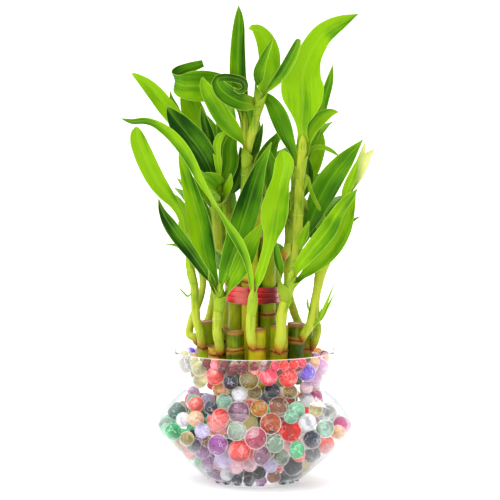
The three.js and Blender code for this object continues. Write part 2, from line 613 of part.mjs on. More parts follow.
    leaves: [
      { spine: [[-4.1, -11, 180, 2.1], [-8, -14.5, 190.4, 2.6], [-17.5, -18, 203.2, 4.9],
        [-25.2, -19.8, 216.1, 3.8], [-28.2, -20, 224.1, 0.5]], fold: 12 },
      { spine: [[-5.8, -9.5, 203, 1.9], [-9.1, -8.5, 226, 4.5], [-8.6, -8.5, 251.3, 3.2],
        [-8.7, -8.5, 262.6, 0.2]], fold: 32 },
      { spine: [[2.7, -15.4, 208.8, 1.9], [-7.4, -20, 210.7, 4.7], [-13.6, -21, 214, 5.1],
        [-18.5, -21, 218.6, 4.3], [-20.2, -19.5, 222.4, 2.8], [-16.6, -17, 223.9, 2.2],
        [-10.7, -16, 223.3, 2.2], [-6, -17, 221.5, 2.2], [-5.5, -19.5, 217.8, 1.8],
        [-8.7, -21.5, 216.5, 1.3], [-11.5, -22, 218.7, 0.5]], fold: 14, steps: 12 },
      { spine: [[2.9, -15.3, 209.9, 1.6], [0.2, -18.5, 219.1, 3.9], [3.7, -19, 231.4, 2.6],
        [10, -17.5, 245.4, 0.2]], fold: 24 },
      { spine: [[3.1, -15.2, 209.9, 1.5], [19, -33, 234.1, 3.1], [23.5, -38, 245.3, 1.2]], fold: 26 },
      { spine: [[3.1, -14.6, 210.4, 1.6], [7.3, -10.5, 225, 5.4], [7.3, -9.5, 239.3, 5.7],
        [1.3, -11, 249.5, 3.3], [-3.4, -12.5, 250.1, 0.3]], fold: 12 },
      { spine: [[-5.2, -9, 198, 1.9], [-7.4, -5, 207.7, 3.8], [-12.4, -3.5, 213.7, 6],
        [-19.5, -4, 217.3, 8], [-34.3, -6, 218.8, 8.1], [-39.5, -6, 219.1, 6.6],
        [-42.8, -3.6, 220.9, 4.7], [-43.6, 0, 223.5, 4.1], [-41.6, 2.6, 225.9, 3.5],
        [-28.2, 5.5, 230.7, 2]],
        face: [[0, 0], [0.6, 0], [0.68, -40], [0.76, -120], [0.84, -165], [1, -170]], fold: 8, steps: 12 },
      { spine: [[-2.5, -10, 172.3, 2.2], [-0.6, -8, 181.5, 3.4], [4.6, -6, 198.6, 0.2]] },
    ],
  },
  {
    name: 'shoot_inner_back_left', cane: innerFoot(5), seatZ: 128, toward: 225,
    foot: 2.7, top: 1.9,
    stem: [[-13, 13.5, 134], [-14.5, 15.5, 146], [-15.5, 17, 162], [-16, 18, 180]],
    leaves: [
      { spine: [[-15.3, 14, 152.1, 2.2], [-13, 10, 158, 3.9], [-10.2, 8, 164.3, 4.7],
        [-8, 7, 171, 4.1], [-5.3, 7, 183.2, 0.3]] },
      arch([-14.8, 16, 150], 226, 50, 62, 50, 6.4),
      arch([-15.5, 17, 162], 196, 56, 70, 62, 7),
      arch([-15.8, 17.5, 172], 250, 44, 74, 30, 6),
      arch([-16, 18, 178], 176, 40, 82, 36, 5.6),
    ],
  },
  {
    name: 'shoot_inner_back', cane: innerFoot(4), seatZ: 138, toward: 165,
    foot: 2.7, top: 1.9,
    stem: [[4.8, 18.4, 145], [4.6, 20, 157], [3, 21, 170], [0.4, 22, 180]],
    leaves: [
      { spine: [[5, 19, 152.2, 2.2], [3.9, 10, 169.1, 5.2], [8.8, 7, 184.3, 4.1],
        [13.5, 6, 192.7, 0.3]] },
      { spine: [[4.7, 20, 160, 2.2], [5.3, 15, 174.3, 2.8], [8, 12, 182.9, 3],
        [10.8, 11, 187.4, 2.8], [13.8, 12, 193.5, 0.4]] },
      { spine: [[4.2, 20, 153.2, 2.2], [-2.5, 15, 169.3, 4.7], [-5.8, 14, 177.7, 3.6],
        [-8, 14, 184.4, 0.3]] },
      arch([4.8, 19, 148], 168, 56, 60, 70, 7),
      arch([4, 20.4, 163], 136, 46, 50, 46, 6.6),
      arch([0.4, 22, 178], 205, 42, 78, 40, 5.6),
    ],
  },
  {
    name: 'shoot_inner_right', cane: innerFoot(3), seatZ: 122, toward: 100,
    foot: 2.7, top: 1.9,
    stem: [[18.6, 4, 129], [20, 4.6, 141], [21.4, 5, 156], [22.6, 5.4, 172]],
    leaves: [
      { spine: [[22.3, 5, 160.1, 1.7], [27.8, 0, 175.4, 2.2], [35.6, -4.5, 201.6, 2.6],
        [40.6, -4, 220.3, 2.2], [42.7, -2.5, 230.2, 0.2]] },
      { spine: [[21.8, 5, 155.6, 2], [31.8, -2, 171.7, 3.1], [35.9, -3.5, 187.2, 3],
        [36.7, -3.5, 194.7, 0.3]], fold: 18 },
      { spine: [[19, 4, 138, 2], [17.3, -2, 149.6, 3.3], [13.4, -8, 159.5, 4.9],
        [10.1, -11, 167.9, 5.2], [8.4, -13, 177.4, 3.6], [7.3, -13.5, 185.7, 0.3]] },
      { spine: [[20.1, 4.6, 147.9, 1.7], [29.3, -7, 166.5, 2.7], [28.7, -10, 174.5, 3],
        [27.5, -12, 183.4, 0.3]] },
      { spine: [[22.9, 5.2, 164.5, 1.1], [26.7, 0, 178.2, 1.1], [29.6, -5, 183.2, 1.2],
        [33.3, -8, 185.6, 1.3], [38, -9, 185.4, 1.3], [46.4, -9, 180.4, 0.2]] },
      arch([22.4, 5.2, 168], 140, 46, 66, 50, 6.4),
      arch([21.2, 5, 154], 112, 40, 46, 34, 6),
    ],
  },
  {
    name: 'shoot_back_right_1', cane: outerFoot(4), seatZ: 75.5, toward: 105,
    foot: 2.5, top: 1.8,
    stem: [[34.4, 9.8, 80.5], [34, 11.6, 91], [34.4, 13, 104], [36, 15, 118], [37.4, 17, 132]],
    leaves: [
      arch([36, 15, 117], 124, 40, 62, 36, 6),
      arch([37, 16, 126], 160, 52, 60, 52, 7),
      arch([37.4, 17, 130], 96, 34, 78, 30, 5),
    ],
  },
  {
    name: 'shoot_back_right_2', cane: outerFoot(5), seatZ: 76, toward: 131,
    foot: 2.5, top: 1.9,
    stem: [[25.6, 24.2, 82], [22.4, 27.5, 90], [19, 30, 103], [18.5, 32.5, 118], [19.5, 34.5, 134]],
    leaves: [
      arch([18.6, 32, 114.6], 160, 52, 48, 52, 6.8),
      arch([19, 33.6, 126], 130, 48, 66, 46, 6.6),
      arch([19.5, 34.5, 132], 148, 44, 78, 44, 6),
    ],
  },
  {
    name: 'shoot_back', cane: outerFoot(6), seatZ: 75.5, toward: 157,
    foot: 2.5, top: 1.8,
    stem: [[13.8, 33.8, 81.5], [12.6, 35.6, 94], [10.5, 37.5, 112], [8, 39, 132]],
    leaves: [
      arch([11.4, 36.6, 105], 182, 50, 54, 62, 6.6),
      arch([9.4, 38, 121], 204, 50, 68, 56, 6.8),
      arch([8, 39, 130], 178, 46, 80, 44, 6),
    ],
  },
  {
    name: 'shoot_back_left_2', cane: outerFoot(8), seatZ: 76, toward: 208,
    foot: 2.5, top: 1.8,
    stem: [[-16.8, 32.2, 81.5], [-15, 34, 94], [-14.5, 36, 112], [-15.5, 38, 132]],
    leaves: [
      arch([-14.7, 35.6, 107], 206, 50, 50, 56, 6.8),
      arch([-15, 37, 121], 224, 48, 64, 50, 6.6),
      arch([-15.5, 38, 130], 184, 46, 76, 44, 6),
    ],
  },
  {
    name: 'shoot_back_left_1', cane: outerFoot(9), seatZ: 75.5, toward: 234,
    foot: 2.5, top: 1.8,
    stem: [[-27.8, 22, 81.5], [-24.8, 24.4, 90], [-22.6, 26.6, 103], [-23, 28, 118],
      [-24.4, 29, 134]],
    leaves: [
      arch([-22.8, 27.6, 112], 232, 40, 44, 44, 6.4),
      arch([-24, 28.6, 127], 216, 50, 66, 52, 6.8),
      arch([-24.4, 29, 132], 246, 40, 76, 36, 5.8),
    ],
  },
  {
    name: 'shoot_far_left', cane: outerFoot(10), seatZ: 75.5, toward: 252,
    foot: 2.3, top: 1.7,
    stem: [[-36, 8.6, 80.5], [-34.6, 9, 89], [-31, 8.4, 98], [-28.6, 7.6, 108], [-29.4, 7, 124],
      [-31, 6.6, 138]],
    leaves: [
      arch([-28.8, 7.4, 114], 236, 38, 60, 30, 5.4),
      arch([-30, 7, 128], 212, 46, 56, 46, 6.2),
      arch([-31, 6.6, 136], 262, 34, 82, 26, 5),
    ],
  },
];

// The whole plant

const plant = new THREE.Group();

function add(name, geometry, material) {
  const mesh = new THREE.Mesh(geometry, material);
  mesh.name = name;
  plant.add(mesh);
}

add('glass_bowl', glassBowl(), glassFinish);
add('gel_beads', beadBed(), beadFinish);
const outerTier = new THREE.Group();
outerCanes.forEach((cane, index) => outerTier.add(outerCaneMesh(cane, index)));
const innerTier = new THREE.Group();
innerCanes.forEach((cane, index) => innerTier.add(innerCaneMesh(cane, `cane_inner_${index + 1}`)));
innerTier.add(innerCaneMesh(middleCane, 'cane_inner_7'));
plant.add(outerTier, innerTier);
add('ribbon', ribbonGeometry(), ribbonFinish);
for (const shoot of shoots) add(shoot.name, shootGeometry(shoot), leafFinish);

export default plant;
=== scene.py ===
# Two-tier lucky bamboo in a glass bowl of gel beads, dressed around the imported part.
# Tables are in millimetres, or in the photo's own steps where they say so, and meshes in metres. +Z is up and
# -Y faces the viewer.
import bmesh
import bpy
import numpy as np
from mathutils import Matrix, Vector


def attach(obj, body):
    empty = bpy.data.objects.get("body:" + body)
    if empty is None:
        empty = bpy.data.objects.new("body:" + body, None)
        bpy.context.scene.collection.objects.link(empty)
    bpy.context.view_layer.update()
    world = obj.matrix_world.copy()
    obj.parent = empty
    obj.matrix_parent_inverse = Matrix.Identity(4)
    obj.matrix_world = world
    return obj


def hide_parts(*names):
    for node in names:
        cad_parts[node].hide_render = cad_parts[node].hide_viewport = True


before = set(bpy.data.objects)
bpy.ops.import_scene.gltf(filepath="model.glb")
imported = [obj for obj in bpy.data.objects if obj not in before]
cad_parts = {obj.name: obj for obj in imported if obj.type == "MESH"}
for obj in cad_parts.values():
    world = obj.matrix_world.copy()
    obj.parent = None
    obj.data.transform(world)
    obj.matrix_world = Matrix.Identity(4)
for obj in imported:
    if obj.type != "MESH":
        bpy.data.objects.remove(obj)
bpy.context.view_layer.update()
mm = 0.001
rng = np.random.default_rng(38)

view = {"distance": 1600.0, "elevation": 5.8, "aimX": -2.5, "aimZ": 128.4, "lens": 209.45}

# How the photo is read: its middle lies where the camera aims, a step of it is so many millimetres across and
# up there, and what lies deeper stands higher in it. upStep and rise follow from the camera's elevation.
photo = {
    "middle": 250, "step": 0.55, "upStep": 0.5528, "rise": 0.1016,
    # for the beads: the column of the bowl's axis, the row of its foot, and the height they are read from
    "axisColumn": 254.5, "footRow": 482.2, "beadMiddle": 128,
}


# Where a point of the photo lies, by its column and row and by its depth in millimetres.
def seenPlace(column, row, depth):
    share = 1 + depth / view["distance"]
    x = view["aimX"] + (column - photo["middle"]) * photo["step"] * share
    z = view["aimZ"] + (photo["middle"] - row) * photo["upStep"] * share - photo["rise"] * depth
    return [round(x, 1), round(depth, 1), round(z, 1)]


def seenLine(stations):
    return [seenPlace(*station) for station in stations]


def planDirection(degrees):
    turn = np.radians(degrees)
    return np.array([np.sin(turn), -np.cos(turn), 0.0])


def unit(vectors):
    return vectors / np.linalg.norm(vectors, axis=-1, keepdims=True)


# A share from 0 to 1, softened at both ends.
def eased(share):
    return share * share * (3 - 2 * share)


# Angles round a full turn, without the last one.
def turnSteps(count):
    return np.linspace(0, 2 * np.pi, count, endpoint=False)


# A smooth curve through points (centripetal Catmull-Rom), read at shares of its length. The first three
# columns are the place, and any others go along with it.
def smoothCurve(points, shares):
    p = np.asarray(points, float)
    p = np.vstack([2 * p[0] - p[1], p, 2 * p[-1] - p[-2]])
    gap = np.sqrt(np.linalg.norm(np.diff(p[:, :3], axis=0), axis=1))[:, None]
    before, start, end, after = p[:-3], p[1:-2], p[2:-1], p[3:]
    g0, g1, g2 = gap[:-2], gap[1:-1], gap[2:]
    leave = ((start - before) / g0 - (end - before) / (g0 + g1) + (end - start) / g1) * g1
    reach = ((end - start) / g1 - (after - start) / (g1 + g2) + (after - end) / g2) * g1
    u = np.linspace(0, 1, 24, endpoint=False)[None, :, None]
    start, end, leave, reach = (a[:, None] for a in (start, end, leave, reach))
    bend = start + leave * u + (3 * (end - start) - 2 * leave - reach) * u ** 2
    bend = bend + (2 * (start - end) + leave + reach) * u ** 3
    flat = np.vstack([bend.reshape(-1, p.shape[1]), p[-2]])
    run = np.concatenate([[0], np.cumsum(np.linalg.norm(np.diff(flat[:, :3], axis=0), axis=1))])
    places = np.stack([np.interp(shares * run[-1], run, flat[:, k]) for k in range(p.shape[1])], 1)
    return places, run[-1]


# Quads between the rows of a grid whose rows close on themselves, as indices of its points. Where asked, the
# last row is joined to the first as well.
def gridQuads(rows, columns, joined=False):
    index = np.arange(rows * columns).reshape(rows, columns)
    right = np.roll(index, -1, axis=1)
    quads = np.stack([index[:-1], right[:-1], right[1:], index[1:]], -1).reshape(-1, 4)
    join = np.stack([index[-1], right[-1], right[0], index[0]], 1)
    return np.vstack([quads, join]) if joined else quads


# A closed skin from rings of points: quads between rings and a fan of triangles over each end.
def closedSkin(rings, extras):
    rows, columns, _ = rings.shape
    points = np.vstack([rings.reshape(-1, 3), rings[0].mean(0), rings[-1].mean(0)])
    quads = gridQuads(rows, columns)
    ring = np.arange(columns)
    nextRing = np.roll(ring, -1)
    foot, tip = rows * columns, rows * columns + 1
    last = (rows - 1) * columns
    fans = np.vstack([
        np.stack([nextRing, ring, np.full(columns, foot)], 1),
        np.stack([last + ring, last + nextRing, np.full(columns, tip)], 1),
    ])
    a, b, c, d = (points[quads[:, k]] for k in range(4))
    volume = (np.cross(a, b) * c).sum() + (np.cross(a, c) * d).sum()
    e, f, g = (points[fans[:, k]] for k in range(3))
    volume += (np.cross(e, f) * g).sum()
    if volume < 0:
        quads, fans = quads[:, ::-1], fans[:, ::-1]
    notes = {}
    for key, grid in extras.items():
        width = grid.shape[-1]
        notes[key] = np.vstack([grid.reshape(-1, width), grid[0].mean(0), grid[-1].mean(0)])
    return {"points": points, "faces": [quads, fans], "notes": notes}


def addObject(name, data):
    item = bpy.data.objects.new(name, data)
    bpy.context.scene.collection.objects.link(item)
    return item


# Joins skins into one mesh object that rides on the part and wears its materials by skin.
def makePiece(name, skins, materials, nodes):
    points = np.vstack([s["points"] for s in skins]) * mm
    faces, wears, start = [], [], 0
    for skin in skins:
        for block in skin["faces"]:
            faces += (block + start).tolist()
            wears += [skin.get("wear", 0)] * len(block)
        start += len(skin["points"])
    mesh = bpy.data.meshes.new(name)
    mesh.from_pydata(points, [], faces)
    for key in skins[0]["notes"]:
        values = np.vstack([s["notes"][key] for s in skins]).astype(np.float32)
        layer = mesh.attributes.new(key, "FLOAT_VECTOR", "POINT")
        layer.data.foreach_set("vector", values.ravel())
    for material in materials:
        mesh.materials.append(material)
    mesh.polygons.foreach_set("material_index", np.array(wears, dtype=np.int32))
    mesh.polygons.foreach_set("use_smooth", np.ones(len(faces), dtype=bool))
    mesh.update()
    piece = addObject(name, mesh)
    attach(piece, "root")
    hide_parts(*nodes)


# A colour picked in sRGB steps of 255, as the linear colour that shaders use.
def shade(red, green, blue):
    steps = np.array([red, green, blue]) / 255
    linear = np.where(steps <= 0.04045, steps / 12.92, ((steps + 0.055) / 1.055) ** 2.4)
    return (*linear.tolist(), 1.0)


white = (1.0, 1.0, 1.0, 1.0)
black = (0.0, 0.0, 0.0, 1.0)


# Feeds a node's inputs with values or with other nodes' outputs.
def feed(tree, node, feeds):
    for key, value in feeds.items():
        if isinstance(value, bpy.types.NodeSocket):
            tree.links.new(value, node.inputs[key])
        else:
            node.inputs[key].default_value = value


def addNode(tree, kind, feeds, **options):
    node = tree.nodes.new(kind)
    for key, value in options.items():
        setattr(node, key, value)
    feed(tree, node, feeds)
    return node


def calc(tree, operation, a, b=0.0, c=0.0):
    return addNode(tree, "ShaderNodeMath", {0: a, 1: b, 2: c}, operation=operation).outputs[0]


def product(tree, a, b):
    return calc(tree, "MULTIPLY", a, b)


def addShare(tree, value, extra, amount):
    return calc(tree, "MULTIPLY_ADD", extra, amount, value)


# How far a field lies from a level, on either side.
def offLevel(tree, field, level):
    return calc(tree, "ABSOLUTE", calc(tree, "SUBTRACT", field, level))


# Adds a noise's swing about its middle to a value.
def sway(tree, value, field, amount):
    return addShare(tree, value, calc(tree, "SUBTRACT", field, 0.5), amount)


# Spreads a value from one range to 0..1, clamped and softened at both ends.
def fade(tree, value, low, high):
    feeds = {"Value": value, "From Min": low, "From Max": high}
    return addNode(tree, "ShaderNodeMapRange", feeds, interpolation_type="SMOOTHSTEP").outputs[0]


def mixColour(tree, share, a, b, blend="MIX"):
    node = addNode(tree, "ShaderNodeMix", {0: share, 6: a, 7: b}, data_type="RGBA", blend_type=blend)
    return node.outputs[2]


def mixNumber(tree, share, a, b):
    return addNode(tree, "ShaderNodeMix", {0: share, 2: a, 3: b}).outputs[0]


# Lays coats of colour over one another. Each has a measure, where it starts and where it is full, its colour
# and how strong it is there.
def layCoats(tree, colour, coats):
    for measure, start, full, coat, most in coats:
        colour = mixColour(tree, product(tree, fade(tree, measure, start, full), most), colour, coat)
    return colour


def noise(tree, place, scale, detail=2.0, roughness=0.5):
    feeds = {"Vector": place, "Scale": scale, "Detail": detail, "Roughness": roughness}
    return addNode(tree, "ShaderNodeTexNoise", feeds).outputs[0]


def scaled(tree, place, factors):
    return addNode(tree, "ShaderNodeMapping", {"Vector": place, "Scale": factors}).outputs[0]


def objectPlace(tree):
    return addNode(tree, "ShaderNodeTexCoord", {}).outputs["Object"]


def parts(tree, vector):
    return addNode(tree, "ShaderNodeSeparateXYZ", {0: vector}).outputs


# The three numbers that a piece's points carry under a name.
def note(tree, name):
    return parts(tree, addNode(tree, "ShaderNodeAttribute", {}, attribute_name=name).outputs["Vector"])


def bump(tree, height, distance, strength=0.5):
    feeds = {"Height": height, "Distance": distance, "Strength": strength}
    return addNode(tree, "ShaderNodeBump", feeds).outputs[0]


def facing(tree):
    return addNode(tree, "ShaderNodeLayerWeight", {"Blend": 0.5}).outputs["Facing"]


# A new material: its node tree and its Principled shader, with constants set on the shader's own sockets.
def newMaterial(name, constants):
    material = bpy.data.materials.new(name)
    material.use_nodes = True
    tree = material.node_tree
    shader = tree.nodes["Principled BSDF"]
    feed(tree, shader, constants)
    return material, tree, shader


# Lets some light through a thin leaf: mixes the shader with a translucent one of a clearer colour.
def letLightThrough(tree, shader, colour, normal, share):
    glow = addNode(tree, "ShaderNodeBsdfTranslucent", {"Color": colour, "Normal": normal})
    both = addNode(tree, "ShaderNodeMixShader", {0: share, 1: shader.outputs[0], 2: glow.outputs[0]})
    feed(tree, tree.nodes["Material Output"], {"Surface": both.outputs[0]})


# A grain has its scale across and along the blade, its detail, and how much it darkens.
leafLook = {
    "bright": shade(148, 198, 8), "middle": shade(86, 148, 7), "deep": shade(14, 64, 4),
    "pale": shade(232, 232, 150), "edge": shade(200, 226, 96), "glow": shade(170, 226, 16),
    "foot": shade(184, 208, 58), "veinSpacing": 1.3, "veins": 0.03, "upperSide": -0.1,
    "grains": [(1.1, 0.02, 2.0, 0.55), (0.3, 0.012, 1.0, 0.7), (0.1, 0.05, 2.0, 0.9)],
    "clearer": 0.4, "through": 0.25,
}


# A noise stretched along a leaf's veins, with the leaf's own seed as the third way.
def leafGrain(tree, across, along, seed, acrossScale, alongScale, detail):
    place = addNode(tree, "ShaderNodeCombineXYZ", {
        0: product(tree, across, acrossScale), 1: product(tree, along, alongScale), 2: seed})
    return noise(tree, place.outputs[0], 1.0, detail)


# Leaf: long soft veins from its own place across and along the blade, with a pale edge, foot and midrib. Its
# darkness, set leaf by leaf, is partly its own green and partly painted shade, and its lean darkens one half
# as painted shade of the fold.
def leafMaterial():
    look = leafLook
    material, tree, shader = newMaterial("leafGreen", {"Specular IOR Level": 0.1})
    across, along, edge = note(tree, "leafPlace")
    dark, side, seed = note(tree, "leafTone")
    grains = [leafGrain(tree, across, along, seed, *grain[:3]) for grain in look["grains"]]
    tone = dark
    for grain, (_, _, _, amount) in zip(grains, look["grains"]):
        tone = sway(tree, tone, grain, amount)
    veins = calc(tree, "COSINE", product(tree, across, 2 * np.pi / look["veinSpacing"]))
    tone = addShare(tree, addShare(tree, tone, veins, look["veins"]), side, look["upperSide"])
    green = layCoats(tree, look["bright"], [
        (tone, 0.0, 0.55, look["middle"], 1.0), (tone, 0.45, 1.0, look["deep"], 1.0),
        (dark, -0.25, -0.9, look["pale"], 1.0), (edge, 0.4, 0.1, look["edge"], 0.7),
        (along, 20.0, 5.0, look["foot"], 0.75),
        (calc(tree, "ABSOLUTE", across), 0.5, 0.1, look["edge"], 0.16)])
    streaks = grains[0]
    normal = bump(tree, addShare(tree, streaks, veins, 0.15), 0.0003)
    rough = addShare(tree, 0.32, streaks, 0.2)
    feed(tree, shader, {"Base Color": green, "Normal": normal, "Roughness": rough})
    clearer = mixColour(tree, look["clearer"], green, look["glow"])
    letLightThrough(tree, shader, clearer, normal, look["through"])
    return material


stemLook = {
    "pale": shade(192, 204, 58), "green": shade(118, 164, 22), "sheath": shade(222, 224, 128),
    "rust": shade(206, 138, 52), "scar": shade(112, 60, 26), "fibres": (800, 800, 30), "patches": 90.0,
    "clearer": 0.5, "through": 0.14,
}


# Stem: pale green sheaths with fine fibres, and rust-brown where it leaves its cane.
def stemMaterial():
    look = stemLook
    material, tree, shader = newMaterial("stemGreen", {"Roughness": 0.42, "Specular IOR Level": 0.2})
    along, step, green = note(tree, "stemPlace")
    place = objectPlace(tree)
    fibres = noise(tree, scaled(tree, place, look["fibres"]), 1.0, 3.0, 0.6)
    patches = noise(tree, place, look["patches"])
    amount = sway(tree, sway(tree, green, fibres, 2.2), patches, 1.2)
    reach = sway(tree, along, patches, 9.0)
    colour = layCoats(tree, look["pale"], [
        (amount, 0.0, 1.0, look["green"], 1.0), (step, 0.7, 0.2, look["sheath"], 0.6),
        (reach, 6.5, 2.0, look["rust"], 1.0), (reach, 2.6, 0.2, look["scar"], 0.8)])
    normal = bump(tree, fibres, 0.0002)
    feed(tree, shader, {"Base Color": colour, "Normal": normal})
    clearer = mixColour(tree, look["clearer"], colour, look["pale"])
    letLightThrough(tree, shader, clearer, normal, look["through"])
    return material


caneLook = {
    "yellow": shade(206, 194, 20), "green": shade(134, 154, 3), "deep": shade(46, 76, 1),
    "ring": shade(176, 116, 44), "scar": shade(84, 48, 22), "cut": shade(150, 104, 66),
    "pith": shade(206, 180, 128), "fibres": (1200, 1200, 40), "patches": (160, 160, 70), "wobble": 260.0,
}


# Cane: green and yellow with long fibres, a rust ring with a dark scar at the node, and a dry brown cut.
def caneMaterial():
    look = caneLook
    material, tree, shader = newMaterial("caneSkin", {"Roughness": 0.36, "Specular IOR Level": 0.14})
    tint, aboveNode, belowTop = note(tree, "canePlace")
    spread = note(tree, "caneFace")[0]
    place = objectPlace(tree)
    fibres = noise(tree, scaled(tree, place, look["fibres"]), 1.0, 3.0, 0.6)
    patches = noise(tree, scaled(tree, place, look["patches"]), 1.0, 3.0)
    wobble = sway(tree, 0.0, noise(tree, place, look["wobble"]), 2.2)
    amount = sway(tree, sway(tree, tint, patches, 1.1), fibres, 0.3)
    fromNode = calc(tree, "ABSOLUTE", calc(tree, "ADD", aboveNode, wobble))
    colour = layCoats(tree, look["yellow"], [
        (amount, 0.0, 0.55, look["green"], 1.0), (amount, 0.5, 1.05, look["deep"], 1.0),
        (fromNode, 2.6, 0.8, look["ring"], 0.85), (fromNode, 0.75, 0.2, look["scar"], 0.85),
        (addShare(tree, belowTop, wobble, 0.5), 2.4, 0.6, look["ring"], 0.8)])
    cut = layCoats(tree, look["cut"], [(addShare(tree, spread, wobble, 0.1), 0.75, 0.35, look["pith"], 1.0)])
    cut = mixColour(tree, product(tree, fibres, 0.6), cut, look["scar"])
    colour = layCoats(tree, colour, [(belowTop, 0.3, 0.02, cut, 1.0)])
    normal = bump(tree, calc(tree, "ADD", fibres, patches), 0.0003)
    feed(tree, shader, {"Base Color": colour, "Normal": normal})
    return material


ribbonLook = {
    # The lit and shade colours are painted light and painted shade over the folds, the dark one is painted
    # shade on the front right, and the shine colour is a painted highlight.
    "lit": shade(236, 22, 32), "shade": shade(150, 4, 14), "dark": shade(84, 0, 6),
    "paintedShine": shade(255, 140, 130), "gathers": 110.0, "weave": 21.0,
}


# Ribbon: crimson satin, with painted shade in its folds and on its front right, a fine lengthwise weave, and
# a painted highlight on its front left and on each turn's edge.
def ribbonMaterial():
    look = ribbonLook
    material, tree, shader = newMaterial("ribbonSatin", {
        "Roughness": 0.3, "Metallic": 0.15, "Coat Weight": 0.14, "Coat Roughness": 0.08,
        "Specular IOR Level": 0.25})
    turned, upwards, fold = note(tree, "ribbonPlace")
    place = objectPlace(tree)
    sideways, depth, _ = parts(tree, place)
    weave = calc(tree, "SINE", product(tree, upwards, look["weave"]))
    lift = addShare(tree, fold, noise(tree, place, look["gathers"], 1.0), 0.9)
    # Painted light and shade: the strap is lighter where it stands out and darker in its folds.
    colour = layCoats(tree, look["shade"], [(lift, 0.4, 1.1, look["lit"], 1.0)])
    # Painted shade: darker on the front right, away from the light.
    shaded = product(tree, fade(tree, sideways, 0.001, 0.008), fade(tree, depth, -0.006, -0.011))
    colour = mixColour(tree, product(tree, shaded, 0.85), colour, look["dark"])
    # Painted highlight: a pale pink band across the front left.
    paintedHighlightBand = product(tree, fade(tree, sideways, -0.0125, -0.0095), fade(tree, sideways, -0.0025, -0.0055))
    colour = mixColour(tree, product(tree, paintedHighlightBand, 0.5), colour, look["paintedShine"])
    # Painted highlight along each turn's standing edge.
    colour = layCoats(tree, colour, [(turned, 0.84, 0.96, look["paintedShine"], 0.4)])
    feed(tree, shader, {"Base Color": colour, "Normal": bump(tree, weave, 0.00003)})
    return material


glassLook = {
    "clear": (0.985, 0.995, 0.99, 1), "edge": (0.66, 0.73, 0.78, 1), "paintedLipGlow": (0.5, 0.47, 0.46, 1),
    "lipFrom": 0.0727, "lipTo": 0.0734, "waves": (22, 22, 50),
}


# Glass: clear and smooth, greyer where it is seen edge on, with a painted highlight that glows along the lip,
# and faint waviness.
def glassMaterial():
    look = glassLook
    material, tree, shader = newMaterial("bowlGlass", {
        "Roughness": 0.0, "IOR": 1.3, "Transmission Weight": 1.0, "Emission Strength": 1.0})
    place = objectPlace(tree)
    tint = layCoats(tree, look["clear"], [(facing(tree), 0.5, 0.92, look["edge"], 1.0)])
    # Painted highlight: a thin band at the lip glows.
    paintedLipGlow = layCoats(tree, black, [(parts(tree, place)[2], look["lipFrom"], look["lipTo"], look["paintedLipGlow"], 1.0)])
    waves = noise(tree, scaled(tree, place, look["waves"]), 1.0, 1.0)
    feed(tree, shader, {"Base Color": tint, "Emission Color": paintedLipGlow, "Normal": bump(tree, waves, 0.0012, 0.12)})
    return material


gelLook = {
    # The swirls are painted refraction, the glints and the rim are painted highlights, and both glows are
    # painted light.
    "cloud": 130.0, "bend": 240.0, "paintedSwirlLevel": 0.5, "paintedGlintLevel": 0.59, "glow": 0.2, "rim": 0.85,
    "paintedRimGlow": 0.6,
}


# Gel: a swollen bead that light passes through, cloudy inside by its own pattern, with thin darker swirls
# that are painted refraction, white painted glints, a pale painted rim highlight and a faint painted glow of
# its own colour. clear is how much it lets by.
def gelMaterial(name, colour, clear):
    look = gelLook
    material, tree, shader = newMaterial("gel_" + name, {
        "Roughness": 0.02, "IOR": 1.34, "Transmission Weight": clear, "Specular IOR Level": 0.5,
        "Emission Strength": 1.0})
    place = objectPlace(tree)
    cloud = noise(tree, place, look["cloud"])
    bend = noise(tree, place, look["bend"], 1.0)
    base = shade(*colour)
    deep = tuple(c * 0.5 for c in base[:3]) + (1.0,)
    pale = tuple(c + (1 - c) * 0.3 for c in base[:3]) + (1.0,)
    mixed = layCoats(tree, deep, [
        (cloud, 0.36, 0.5, base, 1.0), (cloud, 0.54, 0.68, pale, 1.0),
        # painted refraction: thin darker swirls
        (offLevel(tree, bend, look["paintedSwirlLevel"]), 0.026, 0.006, deep, 0.75),
        # painted highlight: white glints
        (offLevel(tree, bend, look["paintedGlintLevel"]), 0.022, 0.008, white, min(1.5 * clear, 0.85))])
    # Painted highlight: a pale rim where the bead is seen edge on, mixed into its colour and made to glow.
    rim = product(tree, fade(tree, facing(tree), 0.6, 0.82), min(look["rim"] * (0.12 + 1.3 * clear), 0.9))
    mixed = mixColour(tree, rim, mixed, white)
    # Painted glow: the bead's own colour glows faintly, more where less light passes.
    strength = look["glow"] * (1 - clear)
    glow = mixColour(tree, 1.0, mixed, (strength, strength, strength, 1), "MULTIPLY")
    glow = mixColour(tree, product(tree, rim, look["paintedRimGlow"]), glow, white)
    feed(tree, shader, {"Base Color": mixed, "Emission Color": glow})
    return material


# The outline is the outside, as radius and height.
bowl = {
    "wall": 0.8, "rimWall": 0.7, "thinsFrom": 50, "sides": 128, "floorZ": 1.0, "rimTop": 74.0,
    "profileSteps": 64, "rimSteps": 9, "foot": [(0, 0), (8, 0), (16, 0), (21.4, 0)],
    "cornerSteps": 8, "cornerGap": 0.8, "cornerEnd": 0.5,
    "outline": [(22, 0), (27.6, 3.2), (33.8, 8.4), (46.4, 19.8), (53.6, 27), (55, 30.5), (53.4, 34.6),
                (46.8, 43.8), (40.4, 49.4), (37.8, 52.4), (38.6, 56), (41.4, 60.2), (43.5, 66), (44.5, 73)],
}


def outerProfile(count):
    flat = [(r, 0, z) for r, z in bowl["outline"]]
    places, _ = smoothCurve(flat, np.linspace(0, 1, count))
    return places[:, [0, 2]]


# The wall's thickness at a height: it thins towards the rim.
def wallAt(z):
    share = np.clip((z - bowl["thinsFrom"]) / (bowl["rimTop"] - bowl["thinsFrom"]), 0, 1)
    return bowl["wall"] + (bowl["rimWall"] - bowl["wall"]) * share


